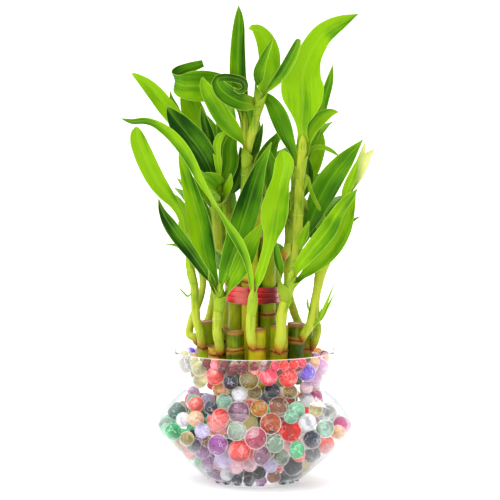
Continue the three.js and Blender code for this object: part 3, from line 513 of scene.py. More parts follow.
# The inside of the wall: each point moved in along the profile's normal.
def innerProfile(count):
    outer = outerProfile(count)
    along = unit(np.gradient(outer, axis=0))
    inner = outer + wallAt(outer[:, 1:]) * np.stack([-along[:, 1], along[:, 0]], 1)
    return inner[inner[:, 1] > bowl["floorZ"] + 0.4]


# A surface of revolution from its first point on the axis to its last one there.
def revolve(profile, sides):
    turn = turnSteps(sides)
    ring = np.stack([np.cos(turn), np.sin(turn)], 1)
    middle = profile[1:-1]
    rings = np.concatenate([middle[:, None, :1] * ring[None], np.repeat(middle[:, None, 1:], sides, 1)], 2)
    skin = closedSkin(rings, {})
    skin["points"][-2] = (0, 0, profile[0][1])
    skin["points"][-1] = (0, 0, profile[-1][1])
    return skin


def makeBowl(material):
    outer, inner = outerProfile(bowl["profileSteps"]), innerProfile(bowl["profileSteps"])[::-1]
    half = bowl["rimWall"] / 2
    edge = np.linspace(0, np.pi, bowl["rimSteps"])
    rimMiddle = (outer[-1] + inner[0]) / 2
    rim = np.stack([rimMiddle[0] + half * np.cos(edge), rimMiddle[1] + half * np.sin(edge)], 1)
    count, floorZ = bowl["cornerSteps"], bowl["floorZ"]
    corner = np.linspace(inner[-1][0] - bowl["cornerGap"], bowl["cornerEnd"], count)
    corner = np.stack([corner, np.full(count, floorZ)], 1)
    profile = np.vstack([bowl["foot"], outer[1:], rim[1:-1], inner, corner, [[0, floorZ]]])
    makePiece("bowl_glass", [revolve(profile, bowl["sides"])], [material], ["glass_bowl"])


canes = {
    "outerRadius": 5.1, "footRing": 26.0, "topRing": 28.0, "footZ": 57.0, "ringRefZ": 88.0,
    "innerRadius": 4.7, "innerRing": 10.2, "innerFootZ": 16.0, "sides": 40,
    # how much it swells, how far over the node and over what length
    "swells": [(0.42, 0.0, 0.9), (-0.28, 1.5, 0.5), (0.16, -2.1, 0.8)], "slimmer": 0.12, "skin": 0.1,
    # the cut's rings: their share of the radius and how far under the top they lie
    "cutShares": [0.965, 0.86, 0.66, 0.4, 0.15], "cutDips": [0.06, 0.0, 0.12, 0.22, 0.26], "cutEdge": 0.3,
    # turn, top, node and how green it is
    "outer": [(3, 88.5, 78, 0.15), (28.7, 89.5, 76, 0.4), (54.4, 90, 81, 0.9), (80.1, 87.5, 74.5, 0.6),
              (105.8, 83, 74.5, 0.5), (131.5, 82, 75, 0.8), (157.2, 83, 74.5, 0.4), (182.9, 82, 76, 0.7),
              (208.6, 83, 75, 0.5), (234.3, 83, 74.5, 0.8), (260, 83, 74.5, 0.4), (285.7, 90, 76, 0.5),
              (311.4, 77.5, 73.5, 0.25), (337.1, 87, 76.5, 0.95)],
    "inner": [(285, 130, 125, 0.38), (345, 140, 112, 0.2), (45, 136, 94, 0.5), (105, 128, 122, 0.5),
              (165, 144, 138, 0.45), (225, 134, 128, 0.5), (0, 158, 150, 0.35)],
}


# The middle of a cane at a height: the outer ring opens a little towards its top.
def canePlace(tier, index, z):
    turn = canes[tier][index][0]
    if tier == "inner":
        ring = canes["innerRing"] if index < 6 else 0.0
    else:
        share = (z - canes["footZ"]) / (canes["ringRefZ"] - canes["footZ"])
        ring = canes["footRing"] + (canes["topRing"] - canes["footRing"]) * share
    return planDirection(turn) * ring + np.array([0, 0, z])


# Numbers that change along a form and stay the same round it, as a grid of rings.
def sameRound(columns, *numbers):
    return np.repeat(np.stack(numbers, 1)[:, None], columns, 1)


# Cane: rings up its length. The radius swells round the node, and the cut's face dips a little.
def caneSkin(tier, index):
    turn, top, node, green = canes[tier][index]
    radius = canes["outerRadius"] if tier == "outer" else canes["innerRadius"]
    footZ = canes["footZ"] if tier == "outer" else canes["innerFootZ"]
    edgeZ = top - canes["cutEdge"]
    heights = np.unique(np.concatenate([
        np.linspace(footZ, edgeZ, 14), node + np.linspace(-3.2, 3.2, 25),
        top - np.linspace(canes["cutEdge"], 3, 6)]))
    heights = heights[heights <= edgeZ]
    around = turnSteps(canes["sides"])
    fromNode = heights - node
    swell = sum(size * np.exp(-((fromNode - rise) / reach) ** 2) for size, rise, reach in canes["swells"])
    swell = swell - canes["slimmer"]
    phase = rng.uniform(0, 6.28, 4)[:3]
    oval = 0.1 * np.cos(2 * around + phase[0]) + 0.06 * np.cos(5 * around + phase[1])
    ripple = 0.05 * np.sin(heights[:, None] * 0.5 + 2 * around[None] + phase[2])
    radii = radius - canes["skin"] + swell[:, None] + oval[None] + ripple
    shares = np.concatenate([np.ones(len(heights)), canes["cutShares"]])
    dip = np.concatenate([heights, top - np.array(canes["cutDips"])])
    radii = np.vstack([radii, radii[-1] * np.array(canes["cutShares"])[:, None]])
    foot, head = canePlace(tier, index, footZ), canePlace(tier, index, top)
    axis = unit(head - foot)
    sideways = unit(np.cross(axis, planDirection(turn)))
    outward = np.cross(sideways, axis)
    lengths = (dip - footZ) * np.linalg.norm(head - foot) / (top - footZ)
    spokes = np.cos(around)[None, :, None] * sideways + np.sin(around)[None, :, None] * outward
    rings = foot + axis * lengths[:, None, None] * np.ones((1, len(around), 1)) + radii[..., None] * spokes
    below = np.where(shares < 1, 0.0, np.maximum(top - dip, 0.35))
    place = sameRound(len(around), np.full(len(dip), green), dip - node, below)
    face = sameRound(len(around), shares, 0 * shares, 0 * shares)
    return closedSkin(rings, {"canePlace": place, "caneFace": face})


def makeCanes(material):
    for tier in ("outer", "inner"):
        for index in range(len(canes[tier])):
            name = f"{tier}_{index + 1}"
            makePiece("bamboo_" + name, [caneSkin(tier, index)], [material], ["cane_" + name])


# A crease set has how many creases go round, their slant and their size.
ribbon = {
    "z": 104.6, "lean": 0.12, "overlap": 0.6, "edgeWave": 0.35, "height": 9.2, "strap": 0.35, "clear": 0.35,
    "turns": 3, "columns": 360, "rows": 40,
    "creases": [(5, 0.9, 0.3), (8, -1.3, 0.22)],
}


# How far the tight bundle of inner canes reaches at an angle: round over a cane, straight between two.
def bundleReach(angle):
    step = np.pi / 3
    first = np.radians(canes["inner"][0][0] - 90)
    off = (angle - first + step / 2) % step - step / 2
    cane, ring = canes["innerRadius"], canes["innerRing"]
    onCane = ring * np.cos(off) + np.sqrt(np.maximum(cane ** 2 - (ring * np.sin(off)) ** 2, 0))
    flat = (ring * np.cos(step / 2) + cane) / np.cos(step / 2 - np.abs(off))
    corner = np.arctan2(cane * np.sin(step / 2), ring + cane * np.cos(step / 2))
    return np.where(np.abs(off) < corner, onCane, flat)


# Ribbon: a strap round the bundle in overlapping turns. Each turn's edge stands out, and slanting creases
# cross it, sharper where the strap is gathered.
def makeRibbon(material):
    angle = turnSteps(ribbon["columns"])[None]
    upwards = np.linspace(0, 1, ribbon["rows"])[:, None]
    wrap = (upwards * ribbon["turns"] + ribbon["lean"] * np.sin(angle + 0.6)) % 1
    steps = ribbon["overlap"] * wrap ** 2 + 0.1 * np.sin(np.pi * wrap)
    creases = np.zeros((ribbon["rows"], ribbon["columns"]))
    for count, slant, size in ribbon["creases"]:
        wave = np.abs(np.sin(count * angle / 2 + slant * upwards * np.pi + rng.uniform(0, 6.28)))
        creases = creases + size * (1 - wave)
    radius = bundleReach(angle) + ribbon["clear"] + steps + creases
    height = ribbon["z"] + ribbon["height"] * (upwards - 0.5)
    height = height + ribbon["edgeWave"] * np.sin(angle * 3 + 1) * (2 * upwards - 1)
    height = height + 0.2 * np.sin(angle * 11 + 2) * np.sign(upwards - 0.5) * (np.abs(upwards - 0.5) > 0.49)
    outer, inner = (np.stack([reach * np.cos(angle), reach * np.sin(angle), height + 0 * angle], 2)
                    for reach in (radius, radius - ribbon["strap"]))
    loop = np.concatenate([outer, inner[::-1]])
    fold = np.concatenate([steps + creases, (steps + creases)[::-1]])
    place = np.stack([np.concatenate([wrap, wrap[::-1]]), loop[..., 2], fold], 2)
    skin = {"points": loop.reshape(-1, 3), "faces": [gridQuads(*fold.shape, True)],
            "notes": {"ribbonPlace": place.reshape(-1, 3)}}
    makePiece("ribbon_strap", [skin], [material], ["ribbon"])


leafForm = {
    "rib": 0.5, "margin": 0.2, "columns": 15, "rowLength": 1.9, "wave": 0.35, "tipHalf": 0.1,
    "sheath": 6.0, "opening": 11.0, "turning": 26.0, "span": 2.1, "gap": 0.1, "layer": 0.12,
    "clasps": 2.2, "veer": 12, "waveLength": 34,
}

archWidths = [0.42, 0.55, 0.8, 0.98, 1, 0.9, 0.68, 0.36, 0.04]


# A leaf read off the photo: a station is a column, a row, a half width in the photo's steps and a depth.
def seenLeaf(stations, **settings):
    spine = [seenPlace(column, row, depth) + [round(half * photo["step"] * (1 + depth / view["distance"]), 1)]
             for column, row, half, depth in stations]
    return {"spine": spine, **settings}


# A leaf that springs from a stem and arches over, by its direction, length, rise and droop. Its half width
# grows to widest and then runs out to a point.
def arch(start, turn, length, rise, droop, widest):
    steps = len(archWidths) - 1
    slope = np.radians(rise - droop * (np.arange(steps) + 0.5) / steps)
    stride = np.cos(slope)[:, None] * planDirection(turn) + np.sin(slope)[:, None] * (0, 0, 1)
    stride = stride * length / steps
    path = np.vstack([start, np.asarray(start) + np.cumsum(stride, axis=0)])
    half = widest * np.array(archWidths)
    return {"spine": np.hstack([path, half[:, None]]), "face": turn + 180, "dark": 0.5}


# A setting of a leaf along its length: one number, or pairs of a share of the length and a number.
def along(leaf, key, usual, t):
    setting = leaf.get(key, usual)
    if np.isscalar(setting):
        return np.full(len(t), float(setting))
    shares, numbers = zip(*setting)
    return np.interp(t, shares, numbers)


# The frame along a path: the way across that is square to the face, and the way up from it.
def pathFrame(places, faceTurn, roll):
    tangent = unit(np.gradient(places, axis=0))
    facing = np.radians(faceTurn)
    facing = np.stack([np.sin(facing), -np.cos(facing), np.full(len(facing), 0.02)], 1)
    side = unit(np.cross(tangent, facing))
    flips = np.where((side[1:] * side[:-1]).sum(1) < 0, -1.0, 1.0)
    side[1:] *= np.cumprod(flips)[:, None]
    turn = np.radians(roll)[:, None]
    side = side * np.cos(turn) + np.cross(tangent, side) * np.sin(turn)
    return side, np.cross(side, tangent)


# The way a leaf faces along its length: at the foot towards its stem, which lies opposite to where it grows,
# and from there round to the way it is set to face.
def facingAlong(leaf, places, run, t):
    usual = along(leaf, "face", 0, t)
    beyond = min(int(np.searchsorted(run, leafForm["sheath"] + leafForm["veer"])), len(run) - 1)
    grows = places[beyond, :2] - places[0, :2]
    reach = np.linalg.norm(grows)
    atFoot = np.degrees(np.arctan2(-grows[0], grows[1]))
    turn = (atFoot - usual[0] + 180) % 360 - 180
    left = 1 - np.clip((run - 4) / leafForm["turning"], 0, 1)
    return usual + turn * np.clip((reach - 1.5) / 2.5, 0, 1) * eased(left)


# Starts a leaf's spine on its stem: two places down the stem first, so that its foot lies along it.
def seatOnStem(spine, stemPlaces):
    spine = np.asarray(spine, float)
    reach = np.linalg.norm(stemPlaces[:, :3] - spine[0, :3], axis=1)
    nearest = max(int(reach.argmin()), 2)
    stride = np.linalg.norm(stemPlaces[nearest, :3] - stemPlaces[nearest - 1, :3])
    back = [max(nearest - int(round(d / stride)), 0) for d in (leafForm["sheath"], leafForm["sheath"] / 2)]
    lead = np.array([[*stemPlaces[i, :3], spine[0, 3]] for i in back + [nearest]])
    lead = lead[np.concatenate([[True], np.linalg.norm(np.diff(lead[:, :3], axis=0), axis=1) > 0.5])]
    return np.vstack([lead, spine[1:]]), stemPlaces[nearest, 3]


# Leaf: a section carried along its spine. At the foot it is an arc that clasps the stem, and it opens into a
# soft V whose margins ripple. Its two faces meet in a thin edge.
def leafSkin(leaf, stemPlaces, layer):
    spine, stemRadius = seatOnStem(leaf["spine"], stemPlaces)
    _, length = smoothCurve(spine, np.zeros(1))
    rows = int(np.clip(length / leafForm["rowLength"], 18, 72))
    t = np.linspace(0, 1, rows)
    read, length = smoothCurve(spine, t)
    places, blade = read[:, :3], np.maximum(read[:, 3:], leafForm["tipHalf"])
    run = t[:, None] * length
    hold = stemRadius + leafForm["gap"] + leafForm["layer"] * layer - 0.5 * np.clip(1 - run / 4.5, 0, 1)
    opened = np.clip((run - leafForm["sheath"]) / leafForm["opening"], 0, 1)
    closed = (1 - eased(opened)) * float(blade.max() > leafForm["clasps"])
    half = blade + np.maximum(leafForm["span"] * hold - blade, 0) * closed ** 2
    side, up = pathFrame(places, facingAlong(leaf, places, run[:, 0], t), along(leaf, "roll", 0, t))
    u = np.sin(np.linspace(-np.pi / 2, np.pi / 2, leafForm["columns"]))[None]
    bent = np.maximum(closed, 0.02) / hold
    sideways = np.sin(bent * half * u) / bent
    arc = (1 - np.cos(bent * half * u)) / bent - hold * closed
    lift = np.tan(np.radians(along(leaf, "fold", 18, t)))[:, None] * (1 - closed)
    valley = (np.sqrt(u ** 2 + 0.04) - 0.2) / (np.sqrt(1.04) - 0.2)
    phase = rng.uniform(0, 6.28, 3)[:2]
    wave = along(leaf, "wave", leafForm["wave"], t)[:, None] * np.minimum(half / 5, 1) * (1 - closed)
    phase = np.where(u < 0, phase[0], phase[1])
    ripple = wave * u ** 2 * np.sin(6.28 * run / leafForm["waveLength"] + phase)
    height = half * lift * valley + ripple + arc
    thick = (leafForm["margin"] + (leafForm["rib"] - leafForm["margin"]) * (1 - u ** 2)) * np.minimum(half, 1)
    middle = places[:, None] + sideways[..., None] * side[:, None]
    upper = middle + (height + thick / 2)[..., None] * up[:, None]
    lower = middle + (height - thick / 2)[..., None] * up[:, None]
    rings = np.concatenate([upper, lower[:, ::-1]], 1)
    across = half * np.hstack([u, u[:, ::-1]])
    shape = across.shape
    face = (np.arange(shape[1]) < leafForm["columns"]) * np.ones(shape)
    place = np.stack([across, np.broadcast_to(run, shape), half - np.abs(across)], 2)
    # Painted shade: lean darkens one half of the blade, as its fold would, on top of the leaf's darkness,
    # which is partly its own green and partly painted shade.
    lean = along(leaf, "lean", 0.1, t)[:, None] * np.clip(across / np.maximum(blade, 1), -1, 1)
    tone = along(leaf, "dark", 0.5, t)[:, None] + lean
    tone = np.stack([tone, face, np.full(shape, rng.uniform(0, 40))], 2)
    return closedSkin(rings, {"leafPlace": place, "leafTone": tone, "stemPlace": np.zeros((*shape, 3))})


stemForm = {"columns": 16, "sheath": 11.5, "branchSheath": 16.0, "foot": 7.5, "branchFoot": 9.0, "bud": 5.0}


# Stem: round rings along its curve. The radius steps in where each old sheath ends, grows from the foot and
# runs out to a bud at the top. Gives its skin, and its middle line with the radius as a fourth column.
def stemSkin(points, footRadius, topRadius, toward, green, fromCane=True):
    _, length = smoothCurve(points, np.zeros(1))
    rows = int(np.clip(length, 12, 120))
    t = np.linspace(0, 1, rows)
    places, length = smoothCurve(points, t)
    run = t * length
    side, up = pathFrame(places, np.full(rows, float(toward)), np.zeros(rows))
    spacing = stemForm["sheath"] if fromCane else stemForm["branchSheath"]
    sheath = (run / spacing + rng.uniform(0, 1)) % 1
    step = 0.09 * (1 - sheath) ** 2 + 0.05 * np.exp(-((1 - sheath) / 0.05) ** 2)
    smooth = footRadius + (topRadius - footRadius) * t
    radius = smooth * (0.95 + step)
    if fromCane:
        radius = radius * (0.3 + 0.7 * np.sin(np.pi / 2 * np.clip(run / stemForm["foot"], 0, 1)) ** 0.8)
    else:
        radius = radius * (0.66 + 0.34 * np.clip(run / stemForm["branchFoot"], 0, 1))
    radius = radius * np.sqrt(np.clip((length - run) / stemForm["bud"], 0.004, 1))
    around = turnSteps(stemForm["columns"])[None]
    spokes = np.cos(around)[..., None] * side[:, None] + np.sin(around)[..., None] * up[:, None]
    rings = places[:, None] + radius[:, None, None] * spokes
    shape = (rows, stemForm["columns"])
    place = sameRound(shape[1], run + (-1 if fromCane else 30), sheath * spacing, green + 0.5 * t - 0.25)
    if fromCane:
        place[..., 0] += 1.5 * np.cos(around - np.pi / 2)
    skin = closedSkin(rings, {"leafPlace": np.zeros((*shape, 3)), "leafTone": np.zeros((*shape, 3)),
                              "stemPlace": place})
    skin["wear"] = 1
    return skin, np.hstack([places, smooth[:, None]])


# Where a shoot leaves its cane: under the skin at the node ring, rising close along the cane at first.
def shootFoot(shoot):
    tier, index = shoot["cane"]
    z = shoot["seatZ"]
    radius = (canes["innerRadius"] if tier == "inner" else canes["outerRadius"]) + 0.1
    out = planDirection(shoot["toward"])
    start = canePlace(tier, index, z) + out * (radius - 0.9)
    up = np.array([0, 0, 1.0])
    return [start - up * 1.2, start + out * 1.5 + up * 0.9, start + out * 2.7 + up * 3.6]


# Leaves and stems share a mesh, so each carries zeros for the notes that only the other needs.
def makeShoots(leafGreen, stemGreen):
    for shoot in shoots:
        points = [*shootFoot(shoot), *shoot["stem"]]
        square = shoot["toward"] + 90
        skin, line = stemSkin(points, shoot["foot"], shoot["top"], square, shoot.get("green", 0.25))
        skins, lines = [skin], [line[6:]]
        for branch in shoot.get("branches", []):
            skin, line = stemSkin(branch["path"], branch["foot"], branch["top"], 90, 0.4, False)
            skins.append(skin)
            lines.append(line)
        for layer, leaf in enumerate(shoot["leaves"]):
            start = np.asarray(leaf["spine"])[0, :3]
            nearest = min(lines, key=lambda line: np.linalg.norm(line[:, :3] - start, axis=1).min())
            skins.append(leafSkin(leaf, nearest, layer % 4))
        name = shoot["name"]
        makePiece(name.replace("shoot", "leafy"), skins, [leafGreen, stemGreen], [name])


# Each shoot has its cane, the height of its node there, the way it leaves and its stem's radii. Most of what
# shows in the photo is read off it, station by station, and the rest is placed in millimetres.
shoots = [
    {"name": "shoot_left_front", "cane": ("outer", 11), "seatZ": 76, "toward": -20,
     "foot": 2.5, "top": 2.2, "green": 0.4,
     "stem": seenLine([(200.5, 335, -17.5), (196.5, 320, -18.5), (195, 302, -19.5), (194, 285, -20),
         (190.5, 268, -20), (187.5, 254, -20.5)]),
     "leaves": [
        seenLeaf([(189.5, 266, 4.2, -20), (187.5, 250, 3.8, -21.5), (185, 232, 3.4, -24),
            (181, 216, 3.8, -26), (174.5, 204, 5, -26), (166, 193.5, 7.4, -28), (157, 181, 9, -30.5),
            (149, 166, 9.6, -33), (142.5, 151, 9.3, -36), (138.2, 139, 8, -38.5), (137, 131, 5, -39.5),
            (137.4, 127.4, 1.6, -40)], dark=[(0, 0.15), (0.5, 0.26), (0.85, 0.12), (1, -0.05)], lean=0.3,
            fold=14),
        seenLeaf([(188.5, 256, 3, -19.5), (187.5, 236, 3.6, -15.5), (186.5, 222, 3.6, -12.5),
            (183.5, 208, 3.6, -12.5), (177, 198, 2.4, -14), (172, 193.5, 0.5, -16.5)], dark=0.02, lean=0.1),
        seenLeaf([(192.5, 272, 3, -19), (190.5, 256, 4.2, -21.5), (187, 242, 4.6, -23), (182, 230, 3, -24),
            (178.5, 222, 0.5, -25)], dark=0.1),
        seenLeaf([(193.5, 290, 1.6, -20.5), (188, 297, 1.8, -21), (183.5, 293, 1.2, -21.5),
            (178.5, 287, 0.3, -22)], dark=0.3),
     ]},
    {"name": "shoot_left_centre", "cane": ("outer", 12), "seatZ": 73.5, "toward": 12,
     "foot": 2.8, "top": 2.7, "green": 0.42,
     "stem": seenLine([(217, 330, -29.5), (217.8, 316, -30), (219, 302, -30.5), (219.8, 291, -31),
         (220, 283, -31)]),
     "leaves": [
        seenLeaf([(219, 300, 3.6, -31), (213.5, 286, 3.8, -32.5), (203.5, 271, 4.8, -34),
            (191.5, 253.5, 6.2, -36), (180, 238.5, 7.2, -38), (169, 223, 6.5, -39.5),
            (161.8, 210, 3.4, -40.5), (158.8, 199, 0.5, -41)], dark=0.95, lean=-0.2, fold=26),
        seenLeaf([(218.5, 300, 3.2, -29.5), (213.5, 282, 5, -27), (208, 265, 8.6, -24.5),
            (204, 247, 11, -22.5), (200, 227, 11.6, -20.5), (195, 206, 9.6, -19), (190, 188, 7.6, -18),
            (184.5, 170, 5, -17.5), (180.5, 157, 2, -17), (179.5, 151, 0.4, -17)],
            dark=[(0, 0.6), (0.35, 0.5), (0.6, 0.3), (1, 0.35)], lean=0.28, fold=16),
        seenLeaf([(219.8, 300, 3.2, -31), (221.5, 288, 4.6, -31.5), (227, 270, 8, -31.5),
            (233, 252, 10.6, -31), (239, 234, 12.2, -30), (245, 216, 12.8, -29), (250.5, 198, 11.4, -28),
            (255.5, 181, 8.6, -27), (261, 165, 5.6, -26), (266.5, 153, 3, -25), (271.5, 142.5, 0.4, -24)],
            dark=[(0, 0.45), (0.3, 0.6), (0.6, 0.82), (1, 0.6)], lean=-0.12, fold=16),
        seenLeaf([(220.5, 301, 3, -31.8), (229, 289, 4.6, -34), (237, 274, 8, -35.5), (244.5, 258, 9.6, -36),
            (250.5, 244, 8.6, -35.5), (256.5, 233, 5, -35), (262, 223.5, 0.5, -34)],
            dark=[(0, 0.4), (0.5, 0.5), (1, 0.42)], lean=0.15, fold=10),
        seenLeaf([(218.5, 304, 2.4, -31.5), (212.5, 292, 2.4, -33), (209.5, 281, 1.8, -34),
            (208.5, 270, 0.4, -34.5)], dark=0.45),
     ]},
    {"name": "shoot_centre_front", "cane": ("outer", 0), "seatZ": 78, "toward": -25,
     "foot": 2.7, "top": 2.6, "green": 0.1,
     "stem": seenLine([(250.8, 335, -35.5), (250.7, 320, -36.5), (252, 306, -37), (253, 296, -37.4),
         (253.6, 288, -38)]),
     "leaves": [
        seenLeaf([(252.3, 306, 3.4, -37.4), (252, 283, 3.4, -39), (248.5, 265, 3.6, -40.5),
            (242.5, 248.5, 5, -42), (233.5, 231.5, 5.6, -43.5), (222.5, 214, 3.6, -44.5),
            (211, 197, 3.2, -45.5), (201.5, 181, 4.2, -46.5), (193, 164, 5.4, -47), (183.5, 149, 6, -47.5),
            (173, 137, 5.6, -48), (163, 128.8, 4.8, -48.5), (153, 123.4, 3.8, -48.5),
            (143.5, 121.6, 3.4, -48.5), (133.5, 122.4, 2.8, -48), (126, 120.6, 1.5, -48),
            (121.8, 119, 0.3, -48)], dark=[(0, 0.1), (0.25, 0.36), (0.6, 0.32), (0.85, 0.45), (1, 0.6)],
            lean=-0.3, fold=16, wave=0.5, roll=[(0, 0), (0.3, -25), (0.45, -60), (0.6, -20), (1, 20)]),
        seenLeaf([(253.8, 306, 3.4, -37.6), (257, 287, 4.6, -39.5), (262.5, 266, 5, -41),
            (267.5, 249, 5.4, -41.8), (271, 236.5, 7.6, -42.2), (273, 224.5, 11.8, -42.6),
            (274.5, 211, 13.8, -42.8), (277.5, 196, 11.8, -42.2), (280.5, 181, 9.2, -40.5),
            (283, 171, 9.6, -38.5), (284, 163.5, 9.4, -36), (283.5, 157, 6.4, -33.5),
            (281.5, 150.5, 1.2, -32)], dark=[(0, 0), (0.35, 0.12), (0.55, 0.36), (0.8, 0.26), (1, 0)],
            lean=0.18, fold=[(0, 16), (0.4, 10), (0.9, 14), (1, 40)], wave=0.7),
     ]},
    {"name": "shoot_right_tall", "cane": ("outer", 1), "seatZ": 76, "toward": 0,
     "foot": 3, "top": 2.5, "green": 0.12,
     "stem": seenLine([(281, 335, -33), (281.5, 318, -33.5), (285, 301, -33), (289.5, 283, -32.5),
         (295, 264, -30.5), (297, 243, -28.5), (298.5, 217, -26.5), (299.5, 190, -24.5), (301, 166, -23),
         (302.3, 146, -22), (302.3, 135, -22)]),
     "branches": [
        {"path": seenLine([(285, 301, -33), (289.5, 283, -33.5),
         (294.5, 266, -33.5)]),
          "foot": 3.3, "top": 2.7},
     ],
     "leaves": [
        seenLeaf([(302.3, 148, 4.2, -22), (302.2, 136, 4.4, -22.4), (301.6, 124, 6.5, -22.8),
            (302.5, 114, 12.6, -23.3), (303, 103, 18.6, -23.8), (302, 90, 21.5, -24.4), (301.8, 79, 20, -25),
            (304.5, 68, 16.6, -25.4), (309, 57, 12.8, -26), (314, 47, 11.8, -26.3), (321, 37, 10.8, -26.4),
            (330.5, 29.5, 9.2, -26), (341, 23.5, 6.6, -25), (350.5, 19, 3.2, -24), (357.2, 16, 0.3, -23.5)],
            dark=[(0, 0.05), (0.2, 0.24), (0.38, 0.2), (0.6, 0.02), (0.74, 0), (0.8, 0.32), (1, 0.36)],
            lean=[(0, 0.1), (0.5, 0.15), (0.75, 0.3), (1, 0.3)], fold=12),
        seenLeaf([(300.8, 170, 3.4, -22.5), (295, 159, 3.4, -20.5), (290.5, 147, 5.2, -18.5),
            (284.5, 131, 8.2, -15.5), (278.5, 116, 8.8, -13), (271.5, 103.5, 6.6, -11.5),
            (264.5, 97, 3.6, -10.5), (260, 98, 0.8, -10)], dark=[(0, 0.5), (0.3, 0.7), (1, 0.66)],
            lean=-0.2, fold=20),
        seenLeaf([(302, 162, 3, -22), (306.5, 147, 3.4, -20), (310.5, 133, 5.6, -18),
            (316.5, 122.5, 7, -16.5), (325, 115.5, 5.6, -15.5), (332, 112.7, 3.4, -15),
            (338, 112.6, 0.4, -14.5)], dark=[(0, 0.2), (0.4, 0.45), (1, 0.35)], lean=-0.2, fold=20),
        seenLeaf([(297.5, 246, 3.4, -28), (304, 236, 4.4, -24), (311, 221, 8, -21), (317, 205, 11, -19),
            (324.5, 189, 12.6, -17.5), (334, 174, 11.6, -16), (345, 160, 8.6, -15), (354, 149.5, 4.6, -14),
            (362.4, 140, 0.4, -13)], dark=[(0, 0.95), (0.4, 0.75), (0.7, 0.58), (1, 0.45)], lean=0.1,
            fold=14),
        seenLeaf([(291, 287, 4, -33.5), (299, 279, 4.2, -34.5), (311, 270, 6, -35.5),
            (324, 257.5, 8.4, -36.5), (335, 243, 9.4, -36.8), (343, 228, 8.6, -36.2), (348, 213, 6.4, -35),
            (352, 202, 3.6, -34), (355.5, 194, 0.4, -33)],
            dark=[(0, 0.26), (0.4, 0.26), (0.8, 0.22), (1, 0.3)], lean=0.12, fold=16,
            roll=[(0, -10), (1, 8)]),
        seenLeaf([(290, 288, 4.6, -34), (294.5, 276, 5, -36), (300.5, 264.5, 6.4, -38.5),
            (310, 252, 7.8, -41), (320.5, 239.5, 9, -42.5), (329.5, 227.5, 8.6, -42.5),
            (335.5, 216.5, 7, -41), (342, 206, 5.8, -39), (350, 197, 4, -37), (357.4, 189, 0.3, -36)],
            dark=[(0, 0.25), (0.6, 0.4), (0.68, 0.52), (0.76, 0.2), (1, 0.5)], lean=0.14,
            fold=[(0, 14), (0.7, 8), (0.8, 30), (1, 16)]),
        seenLeaf([(286.5, 300, 2.6, -33.5), (282.5, 284, 4.2, -34.5), (279, 268, 5, -35),
            (276.5, 252, 3.8, -35.5), (275.5, 239, 0.4, -36)], dark=0.5, lean=-0.25),
        seenLeaf([(296.5, 262, 4, -31), (300, 247, 5.6, -32.5), (304.5, 234, 4.4, -33),
            (308.8, 221, 0.5, -33)], dark=0.28, lean=0.2),
        seenLeaf([(299.5, 196, 3, -25), (306, 186, 2, -26.5), (306.8, 178, 1.4, -27)], dark=0),
        seenLeaf([(283, 318, 3, -34.2), (287.5, 309, 2.6, -35.6), (291.5, 300, 1.6, -36)], dark=0.1),
        seenLeaf([(302, 200, 3, -23), (306, 216, 5, -19), (311, 230, 6, -17), (316, 238, 4, -16)], dark=0.9),
        seenLeaf([(300, 183, 2.4, -23), (306, 176, 2.2, -20.5), (311, 192, 2, -20), (318, 206, 2, -20),
            (324.5, 220, 2, -20), (327, 231, 0.5, -20)], dark=0.15),
     ]},
    {"name": "shoot_right", "cane": ("outer", 2), "seatZ": 81, "toward": 40,
     "foot": 2.6, "top": 2.2,
     "stem": seenLine([(305.5, 333, -25.5), (311, 323, -27), (314, 308, -26), (317, 291, -26),
         (321, 276, -25.5), (328, 258, -24.5), (335, 238, -22.5), (341.5, 217, -20), (345.5, 202, -18.5)]),
     "leaves": [
        seenLeaf([(344.5, 207, 3, -19), (349, 193, 4.2, -18.5), (354.5, 180, 6.2, -18),
            (360, 167.5, 6.6, -17.5), (366, 157.5, 4.4, -17), (373.8, 149.4, 0.4, -16.5)],
            dark=[(0, 0.05), (0.3, -0.5), (1, -0.95)], lean=-0.2, fold=24),
        seenLeaf([(344.5, 207, 2.6, -18.5), (351, 188, 3.4, -16.5), (357, 170, 4.2, -15.5),
            (362, 154, 3, -15), (364.4, 143, 0.3, -14.5)], dark=[(0, 0), (0.4, -0.6), (1, -0.95)], lean=0.1,
            fold=20),
        seenLeaf([(343, 212, 3, -20), (345.5, 196, 4.8, -21), (350, 182, 5, -21), (355, 168, 3, -20.5),
            (358.5, 157.5, 0.4, -20)], dark=[(0, 0.1), (1, 0)], lean=0.1),
        seenLeaf([(308, 327, 2, -25.5), (317, 325, 2.2, -28.5), (326, 305, 1.6, -30), (334.5, 283, 0.3, -31)],
            dark=0.2),
        seenLeaf([(312, 318, 2, -26.5), (320, 320, 2, -28), (327, 308, 1.4, -28.5), (334.5, 294, 0.3, -29)],
            dark=0.15),
        seenLeaf([(309, 327, 3, -25), (309.5, 315, 3, -27.5), (308.5, 306, 2.4, -28.5),
            (307.2, 298.5, 0.4, -29)], dark=[(0, 0.1), (1, 0.4)], lean=0.2),
     ]},
    {"name": "shoot_far_right", "cane": ("outer", 3), "seatZ": 74.5, "toward": 62,
     "foot": 2.4, "top": 1.9,
     "stem": seenLine([(315.5, 341, -9.6), (318.5, 331, -10), (319.5, 322, -10)]),
     "leaves": [
        seenLeaf([(319, 328, 3.4, -10.2), (320.5, 318, 3, -11), (322, 308, 0.4, -11.5)], dark=0.2),
        seenLeaf([(318, 333, 2.4, -10.4), (315.5, 322, 2.2, -12.5), (316, 312, 0.4, -13.5)], dark=0.1),
     ]},
    {"name": "shoot_inner_left", "cane": ("inner", 0), "seatZ": 125, "toward": -80,
     "foot": 2.9, "top": 2.4,
     "stem": [(-19.6, -5.6, 131), (-20.4, -7, 140), (-21, -8, 152), (-21.6, -8.6, 164), (-21.4, -8.6, 172)],
     "leaves": [
